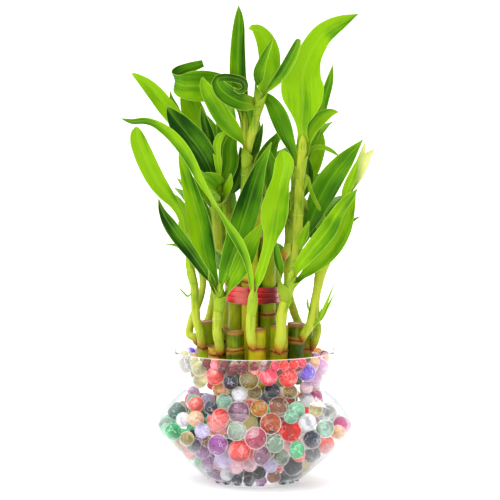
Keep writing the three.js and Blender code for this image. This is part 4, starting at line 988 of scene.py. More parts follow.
        seenLeaf([(216, 205, 4, -9), (215.5, 196, 6, -13), (216, 187, 9, -17.5), (212, 180.5, 8.4, -20),
            (206.5, 176.5, 5, -20.5), (202, 175, 1, -20)], dark=[(0, 0.3), (0.5, 0.5), (1, 0.35)], lean=0.1,
            fold=24),
        seenLeaf([(215.5, 196, 3.6, -9.5), (213, 178, 6.4, -12), (206, 160, 11.6, -14.5),
            (197, 146, 13.2, -16.5), (186.5, 133, 12.6, -18), (177, 121, 9.4, -19), (170.5, 112, 4.6, -19.5),
            (167.6, 107, 0.8, -19.5)], dark=[(0, 0.9), (0.5, 1), (1, 0.85)], lean=-0.15, fold=12),
        seenLeaf([(214, 190, 3.6, -7.5), (207, 160, 5, -4.5), (192, 137, 7.6, -2.5), (178, 121, 8.8, -1.5),
            (166, 107, 8.8, -1), (156.5, 95, 8, -0.5), (147, 85, 6.2, 0), (139, 78.5, 3.6, 0),
            (133, 74.4, 1.2, 0)], dark=[(0, 0.4), (0.5, 0.16), (1, 0.2)], lean=-0.15, fold=12),
        seenLeaf([(219, 196, 2.6, -10), (220.5, 182, 2.8, -13), (219, 168, 3.4, -14.5),
            (217, 154, 3.8, -15.2), (217.5, 143, 4, -15.5), (221, 136, 3.4, -15.5), (227, 133, 0.8, -15)],
            dark=0.12, lean=0.25, fold=20),
        seenLeaf([(216, 190, 3, -8.5), (214.5, 165, 4.4, -9), (211.5, 148, 5.6, -10), (208, 134, 5.6, -11),
            (204.2, 120, 4, -12), (201.6, 107, 0.6, -12.5)], dark=0.88, lean=0, fold=20),
        seenLeaf([(217, 190, 3, -7), (213, 165, 6, -3), (206, 145, 9.6, -1), (198, 124, 11.4, 1),
            (191, 106, 10.6, 2), (186.5, 96, 6.4, 2.5), (183.5, 88, 0.8, 3)],
            dark=[(0, 0.6), (0.5, 0.2), (1, 0.3)], lean=0.05, fold=16),
        seenLeaf([(185, 145, 4, 1), (180.5, 127, 6.4, 1.5), (175.5, 110, 4.6, 2), (172, 99, 2, 2),
            (170.6, 92, 0.3, 2)], dark=0.78),
        seenLeaf([(218.5, 200, 3.6, -8), (226, 180, 6.6, -5.5), (230.5, 163, 8, -4), (230, 149, 7.4, -3),
            (232.5, 139, 5, -2.5), (236, 131, 0.8, -2)], dark=[(0, 0.8), (0.6, 0.62), (1, 0.7)], lean=0.2,
            fold=22),
        seenLeaf([(215, 212, 4, -6), (210, 200, 7, -3), (204, 188, 7.6, -1), (199, 176, 5.4, 0),
            (196, 165, 0.6, 1)], dark=[(0, 0.45), (1, 0.65)], lean=0.15),
        seenLeaf([(219, 206, 4, -9.5), (226.5, 196, 5.6, -12.5), (229.5, 186, 4.8, -13),
            (231, 173.5, 0.5, -12.5)], dark=0.2, lean=0.25),
     ]},
    {"name": "shoot_inner_top", "cane": ("inner", 6), "seatZ": 150, "toward": -35,
     "foot": 3, "top": 3, "green": 0.75,
     "stem": [(-5, -8.4, 157), (-4.7, -9.2, 165), (-4.3, -10, 176), (-3.9, -10.5, 184)],
     "branches": [
        {"path": seenLine([(248, 153, -10.4), (251, 138, -12), (255.5, 121, -13.5),
         (260, 104, -15)]),
          "foot": 2.7, "top": 2.1},
        {"path": seenLine([(246.5, 153, -10.2), (245, 136, -10), (244.5, 120, -9.6),
         (244, 112, -9.4)]),
          "foot": 2.3, "top": 1.9},
     ],
     "leaves": [
        seenLeaf([(247, 158, 3.8, -11), (245.5, 149, 3.6, -12.5), (240, 139.5, 4.8, -14.5),
            (231, 128, 8.2, -16.5), (222.5, 116.5, 9, -18), (215, 104.5, 8.6, -19), (208.3, 93, 7, -19.8),
            (204, 84.5, 4.4, -20), (202.6, 78.4, 1, -20)],
            dark=[(0, 0.1), (0.3, 0.3), (0.7, 0.48), (1, 0.4)], lean=-0.12, fold=12),
        seenLeaf([(244, 116, 3.4, -9.5), (242, 104, 5.4, -9), (239.5, 90, 7.6, -8.6), (238, 74, 8.2, -8.5),
            (237.8, 58, 7.8, -8.5), (238.2, 42, 7, -8.5), (238.8, 28, 5.8, -8.5), (239, 17, 3.8, -8.5),
            (238.7, 7.6, 0.3, -8.5)], dark=[(0, 0.72), (0.5, 0.62), (1, 0.62)], lean=0.34, fold=32),
        seenLeaf([(259.5, 106, 3.4, -15.4), (251.5, 104, 7, -18), (241, 103, 8.6, -20),
            (229.5, 97, 9.4, -21), (220.5, 88.5, 8, -21), (217.5, 81.5, 5.2, -19.5), (224, 78.5, 4, -17),
            (235, 79.5, 4, -16), (243.5, 83, 4, -17), (244.5, 90, 3.4, -19.5), (238.5, 92.5, 2.4, -21.5),
            (233.5, 88.5, 1, -22)], dark=[(0, 0.6), (0.3, 0.85), (0.6, 0.85), (1, 0.9)], lean=-0.15,
            fold=14),
        seenLeaf([(260, 104, 3, -15.3), (257, 95.5, 5.6, -17), (255, 87.5, 7.2, -18.5),
            (257.5, 76, 6.4, -19), (261.5, 65, 4.8, -19), (266, 54, 3.4, -18.5), (270, 46, 2, -18),
            (273, 39.2, 0.3, -17.5)], dark=[(0, 0.45), (0.5, 0.52), (1, 0.4)], lean=-0.25, fold=24),
        seenLeaf([(260.3, 104, 2.8, -15.2), (266, 94.5, 2.8, -19), (274, 85, 4.2, -23),
            (282.5, 73.5, 5.6, -28.5), (290, 61, 5.8, -33), (295, 50, 4.8, -36), (297.6, 43, 3.4, -37.5),
            (298.4, 40.6, 2.2, -38)], dark=[(0, 0.4), (0.5, 0.66), (1, 0.5)], lean=-0.35, fold=26),
        seenLeaf([(260.3, 103, 3, -14.6), (264, 90, 6.6, -12.5), (268, 76, 9.8, -10.5),
            (269.5, 62, 10.8, -9.5), (268, 50, 10.4, -9.5), (263.5, 39, 8.8, -10), (257, 31.5, 6, -11),
            (251.5, 29.4, 3, -12), (248.4, 30.4, 0.6, -12.5)],
            dark=[(0, 0.3), (0.4, 0.2), (0.7, 0.02), (1, -0.15)], lean=0.3, fold=12),
        seenLeaf([(245, 125, 3.4, -9), (241, 107, 7, -5), (232, 96, 11, -3.5), (219, 89.5, 14.6, -4),
            (205, 87, 15.6, -5), (192, 87, 14.8, -6), (182.5, 86.5, 12, -6), (176.5, 83, 8.6, -3.6),
            (175.2, 78, 7.4, 0), (179, 73.5, 6.4, 2.6), (188, 69.5, 5.4, 4), (197, 66.5, 4.6, 5),
            (203.5, 64.5, 3.6, 5.5)],
            dark=[(0, 0.62), (0.3, 0.42), (0.45, 0.5), (0.62, 0.36), (0.74, 0.68), (1, 0.6)], lean=0.1,
            fold=8, face=[(0, 0), (0.6, 0), (0.68, -40), (0.76, -120), (0.84, -165), (1, -170)]),
        seenLeaf([(250, 172, 4, -10), (253.5, 155, 6.2, -8), (257, 142, 5.2, -7), (260.5, 132, 2.6, -6.5),
            (263, 123.6, 0.3, -6)], dark=0.8, lean=0.1),
     ]},
    {"name": "shoot_inner_back_left", "cane": ("inner", 5), "seatZ": 128, "toward": 225,
     "foot": 2.7, "top": 1.9,
     "stem": [(-13, 13.5, 134), (-14.5, 15.5, 146), (-15.5, 17, 162), (-16, 18, 180)],
     "leaves": [
        seenLeaf([(227, 205, 4, 14), (231, 195, 7, 10), (236, 184, 8.5, 8), (240, 172, 7.5, 7),
            (243, 160, 4.6, 7), (245, 150, 0.6, 7)], dark=0.95, lean=0.1),
        arch([-14.8, 16, 150], 226, 50, 62, 50, 6.4),
        arch([-15.5, 17, 162], 196, 56, 70, 62, 7),
        arch([-15.8, 17.5, 172], 250, 44, 74, 30, 6),
        arch([-16, 18, 178], 176, 40, 82, 36, 5.6),
     ]},
    {"name": "shoot_inner_back", "cane": ("inner", 4), "seatZ": 138, "toward": 165,
     "foot": 2.7, "top": 1.9,
     "stem": [(4.8, 18.4, 145), (4.6, 20, 157), (3, 21, 170), (0.4, 22, 180)],
     "leaves": [
        seenLeaf([(263.5, 204, 4, 19), (261, 190, 7, 14), (261.5, 175, 9.4, 10), (265.5, 160, 9.4, 8),
            (270.5, 148, 7.4, 7), (275, 140, 4.6, 6.5), (279, 133, 0.6, 6)],
            dark=[(0, 0.9), (0.6, 0.72), (1, 0.6)], lean=-0.1),
        seenLeaf([(263, 190, 4, 20), (264, 165, 5, 15), (269, 150, 5.4, 12), (274, 142, 5, 11),
            (278, 136, 3.4, 11.5), (279.5, 131, 0.8, 12)], dark=0.35, lean=0.2),
        seenLeaf([(262, 202, 4, 20), (256, 188, 7.4, 17), (250, 174, 8.4, 15), (244, 159, 6.4, 14),
            (240, 147, 0.6, 14)], dark=0.9, lean=-0.1),
        arch([4.8, 19, 148], 168, 56, 60, 70, 7),
        arch([4, 20.4, 163], 136, 46, 50, 46, 6.6),
        arch([0.4, 22, 178], 205, 42, 78, 40, 5.6),
     ]},
    {"name": "shoot_inner_right", "cane": ("inner", 3), "seatZ": 122, "toward": 100,
     "foot": 2.7, "top": 1.9,
     "stem": [(18.6, 4, 129), (20, 4.6, 141), (21.4, 5, 156), (22.6, 5.4, 172)],
     "leaves": [
        seenLeaf([(295, 192, 3, 5), (305, 165, 4, 0), (313, 140, 4.6, -3), (319.5, 118, 4.8, -4.5),
            (324.5, 99, 4.6, -5), (328.5, 84, 4, -4), (331, 73, 2, -3), (332.4, 66, 0.3, -2.5)],
            dark=[(0, 0.6), (0.6, 0.5), (1, 0.6)], lean=0.1),
        seenLeaf([(294, 200, 3.6, 5), (304, 186, 4, 1), (312.5, 172, 5.6, -2), (316.5, 158, 6.6, -3),
            (320, 144, 5.4, -3.5), (321.4, 130.5, 0.6, -3.5)], dark=[(0, 0.4), (0.5, 0.05), (1, 0.2)],
            lean=-0.1, fold=18),
        seenLeaf([(289, 232, 3.6, 4), (286, 212, 6, -2), (279, 195, 9, -8), (273, 180, 9.6, -11),
            (270, 163, 6.6, -13), (268, 148, 0.6, -13.5)], dark=0.78),
        seenLeaf([(291, 214, 3, 4.6), (301, 198, 4, -2), (308, 182, 5, -7), (307, 168, 5.4, -10),
            (305, 152, 0.5, -12)], dark=0.8),
        seenLeaf([(296, 184, 2, 5.2), (303, 160, 2, 0), (308.5, 151.5, 2.2, -5), (315.5, 147.5, 2.4, -8),
            (324, 148, 2.4, -9), (332, 151.5, 2, -9), (339.5, 157, 0.4, -9)], dark=0.3),
        arch([22.4, 5.2, 168], 140, 46, 66, 50, 6.4),
        arch([21.2, 5, 154], 112, 40, 46, 34, 6),
     ]},
    {"name": "shoot_back_right_1", "cane": ("outer", 4), "seatZ": 75.5, "toward": 105,
     "foot": 2.5, "top": 1.8,
     "stem": [(34.4, 9.8, 80.5), (34, 11.6, 91), (34.4, 13, 104), (36, 15, 118), (37.4, 17, 132)],
     "leaves": [
        arch([36, 15, 117], 124, 40, 62, 36, 6),
        arch([37, 16, 126], 160, 52, 60, 52, 7),
        arch([37.4, 17, 130], 96, 34, 78, 30, 5),
     ]},
    {"name": "shoot_back_right_2", "cane": ("outer", 5), "seatZ": 76, "toward": 131,
     "foot": 2.5, "top": 1.9,
     "stem": [(25.6, 24.2, 82), (22.4, 27.5, 90), (19, 30, 103), (18.5, 32.5, 118), (19.5, 34.5, 134)],
     "leaves": [
        arch([18.6, 32, 114.6], 160, 52, 48, 52, 6.8),
        arch([19, 33.6, 126], 130, 48, 66, 46, 6.6),
        arch([19.5, 34.5, 132], 148, 44, 78, 44, 6),
     ]},
    {"name": "shoot_back", "cane": ("outer", 6), "seatZ": 75.5, "toward": 157,
     "foot": 2.5, "top": 1.8,
     "stem": [(13.8, 33.8, 81.5), (12.6, 35.6, 94), (10.5, 37.5, 112), (8, 39, 132)],
     "leaves": [
        arch([11.4, 36.6, 105], 182, 50, 54, 62, 6.6),
        arch([9.4, 38, 121], 204, 50, 68, 56, 6.8),
        arch([8, 39, 130], 178, 46, 80, 44, 6),
     ]},
    {"name": "shoot_back_left_2", "cane": ("outer", 8), "seatZ": 76, "toward": 208,
     "foot": 2.5, "top": 1.8,
     "stem": [(-16.8, 32.2, 81.5), (-15, 34, 94), (-14.5, 36, 112), (-15.5, 38, 132)],
     "leaves": [
        arch([-14.7, 35.6, 107], 206, 50, 50, 56, 6.8),
        arch([-15, 37, 121], 224, 48, 64, 50, 6.6),
        arch([-15.5, 38, 130], 184, 46, 76, 44, 6),
     ]},
    {"name": "shoot_back_left_1", "cane": ("outer", 9), "seatZ": 75.5, "toward": 234,
     "foot": 2.5, "top": 1.8,
     "stem": [(-27.8, 22, 81.5), (-24.8, 24.4, 90), (-22.6, 26.6, 103), (-23, 28, 118), (-24.4, 29, 134)],
     "leaves": [
        arch([-22.8, 27.6, 112], 232, 40, 44, 44, 6.4),
        arch([-24, 28.6, 127], 216, 50, 66, 52, 6.8),
        arch([-24.4, 29, 132], 246, 40, 76, 36, 5.8),
     ]},
    {"name": "shoot_far_left", "cane": ("outer", 10), "seatZ": 75.5, "toward": 252,
     "foot": 2.3, "top": 1.7,
     "stem": [(-36, 8.6, 80.5), (-34.6, 9, 89), (-31, 8.4, 98), (-28.6, 7.6, 108), (-29.4, 7, 124),
         (-31, 6.6, 138)],
     "leaves": [
        arch([-28.8, 7.4, 114], 236, 38, 60, 30, 5.4),
        arch([-30, 7, 128], 212, 46, 56, 46, 6.2),
        arch([-31, 6.6, 136], 262, 34, 82, 26, 5),
     ]},
]


beads = {
    "count": 430, "smallest": 3.9, "largest": 5.5, "least": 2.7, "bedTop": 69.0, "lowest": 5, "highest": 64,
    "rounds": 300, "glassGap": 0.15, "squash": 0.96, "deepest": 1.4, "wellRadius": 15.4, "outerLevel": 3,
    "innerLevel": 2, "pressed": 0.84, "flatten": 0.6, "flatSlack": 0.03, "firm": 0.88, "caneZ": 66.0,
    "caneTop": 80.0, "caneGap": 0.25, "mostPush": 2.5, "profileSteps": 40,
    # finer where they lie this near the glass, in radii, or above this height
    "shownWithin": 1.9, "shownAbove": 55,
    # loose ones start this far out and off the glass, and the turns at which front and back of a row end
    "innerEdge": 17, "innerWeight": 15, "outerEdge": 4, "frontTurn": 48, "backTurn": 110,
    # in each round: how fast one that overlaps shrinks and what it bears, and how far they move
    "shrink": 0.04, "bears": 0.8, "stride": 0.7, "settle": 0.05, "hides": 0.75, "backStep": 0.6,
}

# Each colour of gel in sRGB steps, and how much light passes through it.
gels = {
    "clear": ((240, 242, 242), 0.75), "white": ((228, 226, 232), 0.1), "pink": ((240, 196, 208), 0.1),
    "lilac": ((200, 188, 228), 0.2), "lilacPink": ((222, 146, 206), 0.25), "magenta": ((238, 44, 156), 0.25),
    "violet": ((138, 92, 250), 0.4), "purple": ((160, 66, 160), 0.35), "mauve": ((160, 104, 140), 0.4),
    # The dark wine gel stands in for painted shade under the rim.
    "paintedShadeWine": ((126, 26, 34), 0.1), "rose": ((218, 104, 140), 0.7), "pinkRed": ((252, 56, 92), 0.2),
    "red": ((246, 50, 40), 0.2), "coral": ((250, 92, 78), 0.2), "salmon": ((255, 128, 120), 0.15),
    "peach": ((240, 186, 138), 0.25),
    "paleYellow": ((246, 236, 170), 0.6), "amber": ((236, 160, 10), 0.6), "olive": ((190, 166, 70), 0.7),
    "orangeBrown": ((226, 104, 56), 0.65), "brown": ((176, 116, 84), 0.5), "paleMint": ((196, 232, 214), 0.5),
    "mint": ((160, 228, 190), 0.35), "green": ((40, 206, 126), 0.3), "teal": ((16, 116, 88), 0.35),
    "greyGreen": ((150, 178, 150), 0.55), "slate": ((52, 56, 74), 0.25), "black": ((14, 16, 22), 0.1),
}

# A front bead read off the photo: what lies at its column and row at the bowl's own depth, and its diameter.
def seenBead(colour, column, row, size):
    across, height = (column - photo["axisColumn"]) * photo["step"], (photo["footRow"] - row) * photo["step"]
    return colour, round(across, 1), round(height, 1), round(size * photo["step"], 1)


# The beads that show at the front against the glass: colour, column, row and diameter in the photo.
frontBeads = [seenBead(*bead) for bead in [
    ("clear", 184, 362, 17), ("paleYellow", 199, 367, 15), ("paleYellow", 200, 381, 15),
    ("red", 215.5, 375.5, 19), ("slate", 230.5, 382.5, 15), ("olive", 249, 380, 19),
    ("pinkRed", 268.4, 376.5, 18.4), ("red", 288, 378, 19), ("violet", 306.5, 373, 17.5),
    ("pink", 306, 388.5, 13.5), ("lilacPink", 322, 368, 16), ("lilacPink", 319, 383, 16),
    ("magenta", 316, 397, 13), ("peach", 330, 374, 14), ("white", 240, 395, 16), ("amber", 220, 390, 15),
    ("mint", 224, 402, 16), ("slate", 272.4, 391, 16), ("olive", 290, 392, 15), ("olive", 254, 393, 15),
    ("paleMint", 162, 423, 14), ("teal", 176.7, 412.6, 19), ("coral", 196, 405.6, 16),
    ("slate", 211, 409, 14), ("white", 183.3, 421, 15), ("peach", 196, 420, 16), ("green", 173, 433, 17),
    ("olive", 187, 440, 14), ("salmon", 216.3, 420.7, 22), ("mauve", 238.3, 412.6, 22),
    ("lilac", 202, 432, 15), ("slate", 194, 447, 14), ("greyGreen", 236.8, 432.4, 19),
    ("purple", 217.7, 446, 20), ("red", 239.4, 452, 22), ("purple", 202, 452, 16),
    ("peach", 178, 448.5, 13), ("salmon", 188.4, 455, 13), ("purple", 208, 465, 16),
    ("purple", 211, 478, 14), ("lilac", 222.9, 461, 17), ("white", 227.3, 475, 14), ("pink", 236, 467, 16),
    ("pink", 250, 466, 14), ("black", 248, 482, 16), ("slate", 240, 476, 14), ("amber", 259.3, 409.3, 17),
    ("brown", 278.6, 407.9, 20), ("mint", 296.4, 411.4, 17), ("white", 307, 401, 14),
    ("paleYellow", 315.7, 411, 14), ("white", 307, 424, 18), ("clear", 327, 414, 20),
    ("paleMint", 325, 430, 18), ("magenta", 341, 425, 15), ("orangeBrown", 270.7, 425, 21),
    ("red", 291.4, 430.7, 24), ("rose", 255.7, 439.3, 22), ("greyGreen", 275, 444.3, 18),
    ("mauve", 262, 457, 18), ("greyGreen", 281.4, 458, 16), ("green", 297, 451.4, 16),
    ("slate", 312, 440, 18), ("slate", 312, 455, 18), ("coral", 328.6, 448.6, 18), ("pink", 318.6, 464, 16),
    ("paleYellow", 308, 472, 13), ("lilac", 270.7, 467, 14), ("slate", 293, 467, 20),
    ("brown", 273.6, 478, 14), ("slate", 288, 481, 14), ("black", 259, 474, 14),
]]


# Nearest points on the glass inside, in radius and height, with the way that leads away from it.
def glassNearby(radius, z):
    line = np.vstack([[[0, bowl["floorZ"]], [25, bowl["floorZ"]]], innerProfile(beads["profileSteps"])])
    a, b = line[:-1], line[1:]
    place = np.stack([radius, z], 1)[:, None]
    share = np.clip(((place - a) * (b - a)).sum(2) / ((b - a) ** 2).sum(1), 0, 1)[..., None]
    away = place - (a + share * (b - a))
    distance = np.linalg.norm(away, axis=2)
    nearest = distance.argmin(1)
    row = np.arange(len(radius))
    inward = np.stack([-(b - a)[:, 1], (b - a)[:, 0]], 1)
    inward = unit(inward)[nearest]
    inside = (away[row, nearest] * inward).sum(1) > 0
    return np.where(inside, distance[row, nearest], -distance[row, nearest]), inward


# How far places lie from the axis, and the ways that lead out there.
def fromAxis(places):
    ring = np.hypot(places[:, 0], places[:, 1])
    return ring, places[:, :2] / np.maximum(ring, 1e-6)[:, None]


# Moves places that lack room before the glass away from it.
def offGlass(places, room, most=np.inf):
    ring, outward = fromAxis(places)
    distance, inward = glassNearby(ring, places[:, 2])
    push = np.clip(room - distance, 0, most)
    return places + np.hstack([outward * (push * inward[:, 0])[:, None], (push * inward[:, 1])[:, None]])


# The ways from bead to bead, how long they are and how far the beads overlap.
def between(places, touch, least=1e-9):
    gap = places[:, None] - places[None]
    distance = np.linalg.norm(gap, axis=2) + least
    overlap = np.maximum(touch - distance, 0)
    np.fill_diagonal(overlap, 0)
    return gap, distance, overlap


# Keeps beads inside the glass, under the top of the bed, and off the canes but for the share that gives.
def holdInBowl(places, radii, firm):
    places = offGlass(places, radii * beads["pressed"] + beads["glassGap"])
    ring, outward = fromAxis(places)
    deep = places[:, 2] + radii * 0.4 > canes["innerFootZ"]
    wellPush = np.where(deep, np.maximum(beads["wellRadius"] + radii * firm - ring, 0), 0)
    places[:, :2] += outward * wellPush[:, None]
    lowest, highest = bowl["floorZ"] + radii * beads["pressed"], beads["bedTop"] - radii * 0.7
    places[:, 2] = np.clip(places[:, 2], lowest, highest)
    for index in range(len(canes["outer"])):
        away = places[:, :2] - canePlace("outer", index, beads["caneZ"])[:2]
        reach = np.linalg.norm(away, axis=1)
        touch = canes["outerRadius"] + radii * firm
        near = (places[:, 2] + radii * 0.5 > canes["footZ"]) & (reach < touch)
        places[:, :2] += np.where(near, (touch - reach) / np.maximum(reach, 1e-6), 0)[:, None] * away
    return places


front = {
    "start": -30.0, "nearest": -60, "deepest": -8, "tries": 240, "forward": 0.12, "back": 0.5, "behind": 0.9,
    "settling": 40, "stride": 0.3, "firm": 0.75,
}


# The front beads: each is pushed forward to the glass, and back again where it would run into one that stands
# before it, along the camera's own ray, so it stays where it is seen. Then they settle against each other.
def frontPlaces():
    tilt = np.radians(view["elevation"])
    across, seen, radii = np.array([bead[1:] for bead in frontBeads]).T
    across, seen, radii = across - view["aimX"], seen - photo["beadMiddle"], radii / 2
    touch = (radii[:, None] + radii[None]) * beads["squash"]
    depth = np.full(len(across), front["start"])
    order = 0.02 * np.arange(len(depth))
    for _ in range(front["tries"]):
        share = 1 + depth / view["distance"]
        x = across * share + view["aimX"]
        z = (photo["beadMiddle"] + seen * share) / np.cos(tilt) - depth * np.tan(tilt)
        places = np.stack([x, depth, z], 1)
        ring = np.hypot(x, depth)
        short = radii * beads["pressed"] + beads["glassGap"] - glassNearby(ring, z)[0]
        steep = np.maximum(np.abs(depth) / np.maximum(ring, 1e-6), 0.3)
        depth = depth + np.where(short > 0, front["back"], front["forward"]) * short / steep
        gap, _, overlap = between(places, touch, 0.0)
        behind = gap[..., 1] + order[:, None] > order[None]
        depth = depth + front["behind"] * (overlap * behind).max(1)
        depth = np.clip(depth, front["nearest"], front["deepest"])
    for _ in range(front["settling"]):
        gap, distance, overlap = between(places, touch)
        push = (gap / distance[..., None] * overlap[..., None]).sum(1)
        places = holdInBowl(places + front["stride"] * push, radii, front["firm"])
    return places, radii


# Rows of small beads side by side: under the top of the bed, in the bowl's widest corner but at its front,
# and round its floor. Their colours run from side to side as the beads beside them do.
# The dark wine beads at the front of the top two rows are painted shade under the rim.
fillRows = [
    {"ring": 39.2, "z": 69.4, "radius": 2.6, "count": 44, "clearFront": 0, "room": 0.82,
     "front": ["paintedShadeWine", "red", "paintedShadeWine", "pinkRed"], "right": ["lilacPink", "peach", "lilacPink"],
     "left": ["clear", "paleYellow", "white"], "behind": ["mint", "pink", "violet", "amber", "white", "red"]},
    {"ring": 36.2, "z": 66.6, "radius": 3.2, "count": 36, "clearFront": 0, "room": 0.5,
     "front": ["paintedShadeWine", "paintedShadeWine", "red"], "right": ["lilacPink", "pink", "salmon"],
     "left": ["paleYellow", "clear", "peach"], "behind": ["lilac", "olive", "coral", "clear", "pink"]},
    {"ring": 49.6, "z": 30.4, "radius": 4.1, "count": 38, "clearFront": 58, "room": 0.6,
     "front": ["clear"], "right": ["magenta", "coral", "pink", "peach"],
     "left": ["paleMint", "green", "clear", "mint"],
     "behind": ["mint", "pink", "peach", "clear", "coral", "paleMint", "teal", "olive"]},
    {"ring": 24.6, "z": 4.3, "radius": 3.4, "count": 23, "clearFront": 0, "room": 0.5,
     "front": ["black", "slate", "brown", "slate", "purple"], "right": ["slate", "pink", "paleYellow"],
     "left": ["purple", "mauve", "lilac"], "behind": ["slate", "purple", "pink", "black"]},
]


# Places such a row where no front bead has the room.
def fillRow(row, fixed, fixedRadii):
    turn = np.linspace(-180, 180, row["count"], endpoint=False) + rng.uniform(-0.6, 0.6, row["count"])
    places = np.array([planDirection(a) * row["ring"] for a in turn])
    places[:, 2] = row["z"] + rng.uniform(-0.3, 0.3, len(turn))
    radii = row["radius"] * rng.uniform(0.92, 1.08, len(turn))
    apart = np.linalg.norm(places[:, None] - fixed[None], axis=2)
    free = (apart > row["room"] * (radii[:, None] + fixedRadii[None])).all(1)
    free = free & (np.abs(turn) >= row["clearFront"])
    tests = [np.abs(turn) < beads["frontTurn"], np.abs(turn) > beads["backTurn"], turn > 0]
    sides = np.select(tests, ["front", "behind", "right"], "left")
    colours = [row[side][rng.integers(len(row[side]))] for side in sides]
    return places[free], radii[free], [colour for colour, keep in zip(colours, free) if keep]


# Packs the bed: the front beads and the rows keep their places, even where they cut into each other, and the
# loose ones are shaken apart. A loose one that would hide a front bead is moved back behind it, a pinched one
# shrinks, and one with no room goes.
def packBeads():
    fixed, fixedRadii = frontPlaces()
    names = [bead[0] for bead in frontBeads]
    for row in fillRows:
        added, addedRadii, addedNames = fillRow(row, fixed, fixedRadii)
        fixed, fixedRadii = np.vstack([fixed, added]), np.concatenate([fixedRadii, addedRadii])
        names = names + addedNames
    count = len(fixed)
    loose = beads["count"] - count
    radii = np.concatenate([fixedRadii, rng.uniform(beads["smallest"], beads["largest"], loose)])
    places = np.vstack([fixed, scattered(loose)])
    mobility = np.where(np.arange(len(places)) < count, 0.0, 1.0)
    for _ in range(beads["rounds"]):
        touch = radii[:, None] + radii[None]
        gap, distance, overlap = between(places, touch)
        shrunk = radii - beads["shrink"] * np.maximum(overlap.max(1) - beads["bears"], 0)
        radii[count:] = np.maximum(shrunk, beads["least"])[count:]
        share = mobility[:, None] / (mobility[:, None] + mobility[None] + 1e-9)
        push = (gap / distance[..., None] * (overlap * share)[..., None]).sum(1)
        moved = places + beads["stride"] * push
        aside = np.hypot(gap[:, :count, 0], gap[:, :count, 2] + 0.1 * gap[:, :count, 1])
        hides = (aside < beads["hides"] * touch[:, :count]) & (gap[:, :count, 1] < 0)
        moved[:, 1] += beads["backStep"] * hides.any(1) * mobility
        moved[:, 2] -= beads["settle"] * mobility
        moved = holdInBowl(moved, radii, beads["firm"])
        places = np.where(mobility[:, None] > 0, moved, places)
    kept = (overlap.max(1) < beads["deepest"]) | (mobility == 0)
    colours = names + [looseColour(place) for place in places[count:]]
    return places[kept], radii[kept], [colour for colour, keep in zip(colours, kept) if keep]


# Places at random between the canes and the glass, more of them where the bowl is wider.
def scattered(count):
    z = rng.uniform(beads["lowest"], beads["highest"], count * 3)
    turn = rng.uniform(0, 2 * np.pi, count * 3)
    radius, height = innerProfile(beads["profileSteps"]).T
    reach = np.interp(z, height, radius)
    ring = np.sqrt(rng.uniform((beads["innerEdge"] / reach) ** 2, 1)) * (reach - beads["outerEdge"])
    tries = np.stack([ring * np.cos(turn), ring * np.sin(turn), z], 1)
    weight = reach ** 2 - beads["innerWeight"] ** 2
    return tries[rng.choice(len(tries), count, replace=False, p=weight / weight.sum())]


# A unit ball as points and triangles.
def ball(level):
    form = bmesh.new()
    bmesh.ops.create_icosphere(form, subdivisions=level, radius=1.0)
    points = np.array([v.co[:] for v in form.verts])
    triangles = np.array([[v.index for v in f.verts] for f in form.faces])
    form.free()
    return points, triangles


# Colours of the beads that the photo doesn't show: drawn by height, as the front ones run. Each set has the
# height that it starts above.
looseColours = [
    (48, ["red", "pinkRed", "coral", "olive", "violet", "peach", "slate", "pink", "lilacPink", "white",
          "mint"]),
    (26, ["mint", "amber", "brown", "salmon", "white", "teal", "green", "mauve", "red", "clear",
          "orangeBrown", "coral", "greyGreen", "paleMint", "lilac"]),
    (-np.inf, ["slate", "purple", "mauve", "pink", "white", "black", "rose", "lilac", "coral", "paleYellow",
               "green"]),
]


def looseColour(place):
    names = next(names for lowest, names in looseColours if place[2] > lowest)
    return names[rng.integers(len(names))]


# Flattens a bead in part where it overlaps its neighbours, so that some of each overlap stays.
def squashBead(points, centre, radius, neighbours):
    for other, otherRadius in neighbours:
        toward = other - centre
        distance = np.linalg.norm(toward)
        toward = toward / distance
        plane = (distance + radius - otherRadius) / 2
        beyond = np.maximum((points - centre) @ toward - plane + beads["flatSlack"], 0)
        points = points - beads["flatten"] * beyond[:, None] * toward
    return points


def makeBeads():
    places, radii, colours = packBeads()
    distance, _ = glassNearby(np.hypot(places[:, 0], places[:, 1]), places[:, 2])
    shown = (distance < radii * beads["shownWithin"]) | (places[:, 2] > beads["shownAbove"])
    balls = {True: ball(beads["outerLevel"]), False: ball(beads["innerLevel"])}
    apart = np.linalg.norm(places[:, None] - places[None], axis=2)
    skins = {name: [] for name in gels}
    for i, place in enumerate(places):
        points, triangles = balls[bool(shown[i])]
        points = place + points * radii[i]
        near = np.flatnonzero((apart[i] < radii[i] + radii) & (apart[i] > 0))
        points = squashBead(points, place, radii[i], [(places[j], radii[j]) for j in near])
        points = clearOfCanes(offGlass(points, beads["glassGap"], beads["mostPush"]))
        skins[colours[i]].append({"points": points, "faces": [triangles], "notes": {}})
    for name, group in skins.items():
        if group:
            makePiece("beads_" + name, group, [gelMaterial(name, *gels[name])], ["gel_beads"])
    worst = (radii[:, None] + radii[None] - apart)[np.triu_indices(len(radii), 1)].max()
    print(f"beads: {len(places)} placed, deepest contact {worst:.2f} mm")


# Moves points that lie inside a cane out to its skin.
def clearOfCanes(points):
    for tier, radius, footZ in (("outer", canes["outerRadius"], canes["footZ"]),
                                ("inner", canes["innerRadius"], canes["innerFootZ"])):
        for index in range(len(canes[tier])):
            low, high = canePlace(tier, index, footZ), canePlace(tier, index, beads["caneTop"])
            share = (points[:, 2] - footZ) / (beads["caneTop"] - footZ)
            away = points[:, :2] - (low + share[:, None] * (high - low))[:, :2]
            reach = np.linalg.norm(away, axis=1)
            hold = radius + beads["caneGap"]
            inside = (reach < hold) & (points[:, 2] > footZ - 0.3)
            gain = np.where(inside, hold / np.maximum(reach, 1e-6) - 1, 0)
            points[:, :2] += gain[:, None] * away
    return points


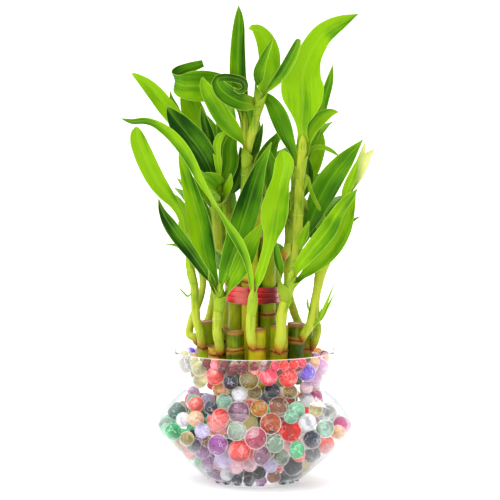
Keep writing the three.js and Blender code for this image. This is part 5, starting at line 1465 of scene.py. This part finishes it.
# Brightness first for the world, by what looks at it, then for the lamps, with places in metres.
lights = {
    "seen": 1.06, "behind": 0.97, "mirrored": 0.78, "through": 1.4, "above": 0.72, "front": 0.26, "sun": 2.5,
    "sunAngle": 55.0, "sunPlace": (-0.75, -0.95, 1.5), "back": 16.0, "backPlace": (0.6, 1.2, 1.4),
    "backAim": (0, 0, 0.15), "backSize": 1.0, "floorSize": 60.0, "floorGlow": 0.4,
}


def aimAt(place, target):
    return (Vector(target) - Vector(place)).to_track_quat("-Z", "Y").to_euler()


def addLamp(name, kind, power, place, target, **settings):
    lamp = bpy.data.lights.new(name, kind)
    lamp.energy = power
    for key, value in settings.items():
        setattr(lamp, key, value)
    item = addObject(name, lamp)
    item.location, item.rotation_euler = place, aimAt(place, target)


# The world: white where the camera or the glass looks at it, and as a light strong above and weak in front.
def studioWorld():
    world = bpy.data.worlds.new("studio")
    world.use_nodes = True
    tree = world.node_tree
    ray = addNode(tree, "ShaderNodeLightPath", {}).outputs
    height = parts(tree, addNode(tree, "ShaderNodeTexCoord", {}).outputs["Generated"])
    strength = addNode(tree, "ShaderNodeMapRange", {
        "Value": addShare(tree, height[2], height[1], 0.6), "From Min": -0.6, "From Max": 1.0,
        "To Min": lights["front"], "To Max": lights["above"]}).outputs[0]
    lit = calc(tree, "GREATER_THAN", ray["Diffuse Depth"], 0.5)
    through = mixNumber(tree, lit, lights["behind"], lights["through"])
    for kind, other in (("Is Singular Ray", lights["mirrored"]), ("Is Transmission Ray", through),
                        ("Is Camera Ray", lights["seen"])):
        strength = mixNumber(tree, ray[kind], strength, other)
    feed(tree, tree.nodes["Background"], {"Strength": strength, "Color": white})
    return world


def setStage():
    scene = bpy.context.scene
    tilt = np.radians(view["elevation"])
    target = np.array([view["aimX"], 0, view["aimZ"]]) * mm
    place = target + view["distance"] * mm * np.array([0, -np.cos(tilt), np.sin(tilt)])
    camera = bpy.data.cameras.new("camera")
    camera.lens, camera.clip_end = view["lens"], 200
    scene.camera = addObject("camera", camera)
    scene.camera.location, scene.camera.rotation_euler = place, aimAt(place, target)
    scene.world = studioWorld()
    scene.view_settings.view_transform = "Standard"
    scene.cycles.max_bounces = scene.cycles.transmission_bounces = 20
    addLamp("key", "SUN", lights["sun"], lights["sunPlace"], (0, 0, 0), angle=np.radians(lights["sunAngle"]))
    addLamp("back", "AREA", lights["back"], lights["backPlace"], lights["backAim"], size=lights["backSize"])


def makeFloor():
    side = lights["floorSize"] / 2
    floor = bpy.data.meshes.new("floor")
    corners = [(-side, -side, 0), (side, -side, 0), (side, side, 0), (-side, side, 0)]
    floor.from_pydata(corners, [], [(0, 1, 2, 3)])
    material, tree, shader = newMaterial("floorPale", {
        "Roughness": 0.9, "Specular IOR Level": 0.1, "Emission Color": white,
        "Emission Strength": lights["floorGlow"]})
    speckle = noise(tree, objectPlace(tree), 30.0)
    feed(tree, shader, {"Base Color": mixColour(tree, speckle, shade(248, 248, 248), shade(252, 252, 252))})
    floor.materials.append(material)
    item = addObject("floor", floor)


setStage()
makeFloor()
print("stage set")
makeBowl(glassMaterial())
print("bowl made")
makeCanes(caneMaterial())
makeRibbon(ribbonMaterial())
print("canes and ribbon made")
makeShoots(leafMaterial(), stemMaterial())
print("shoots made")
makeBeads()
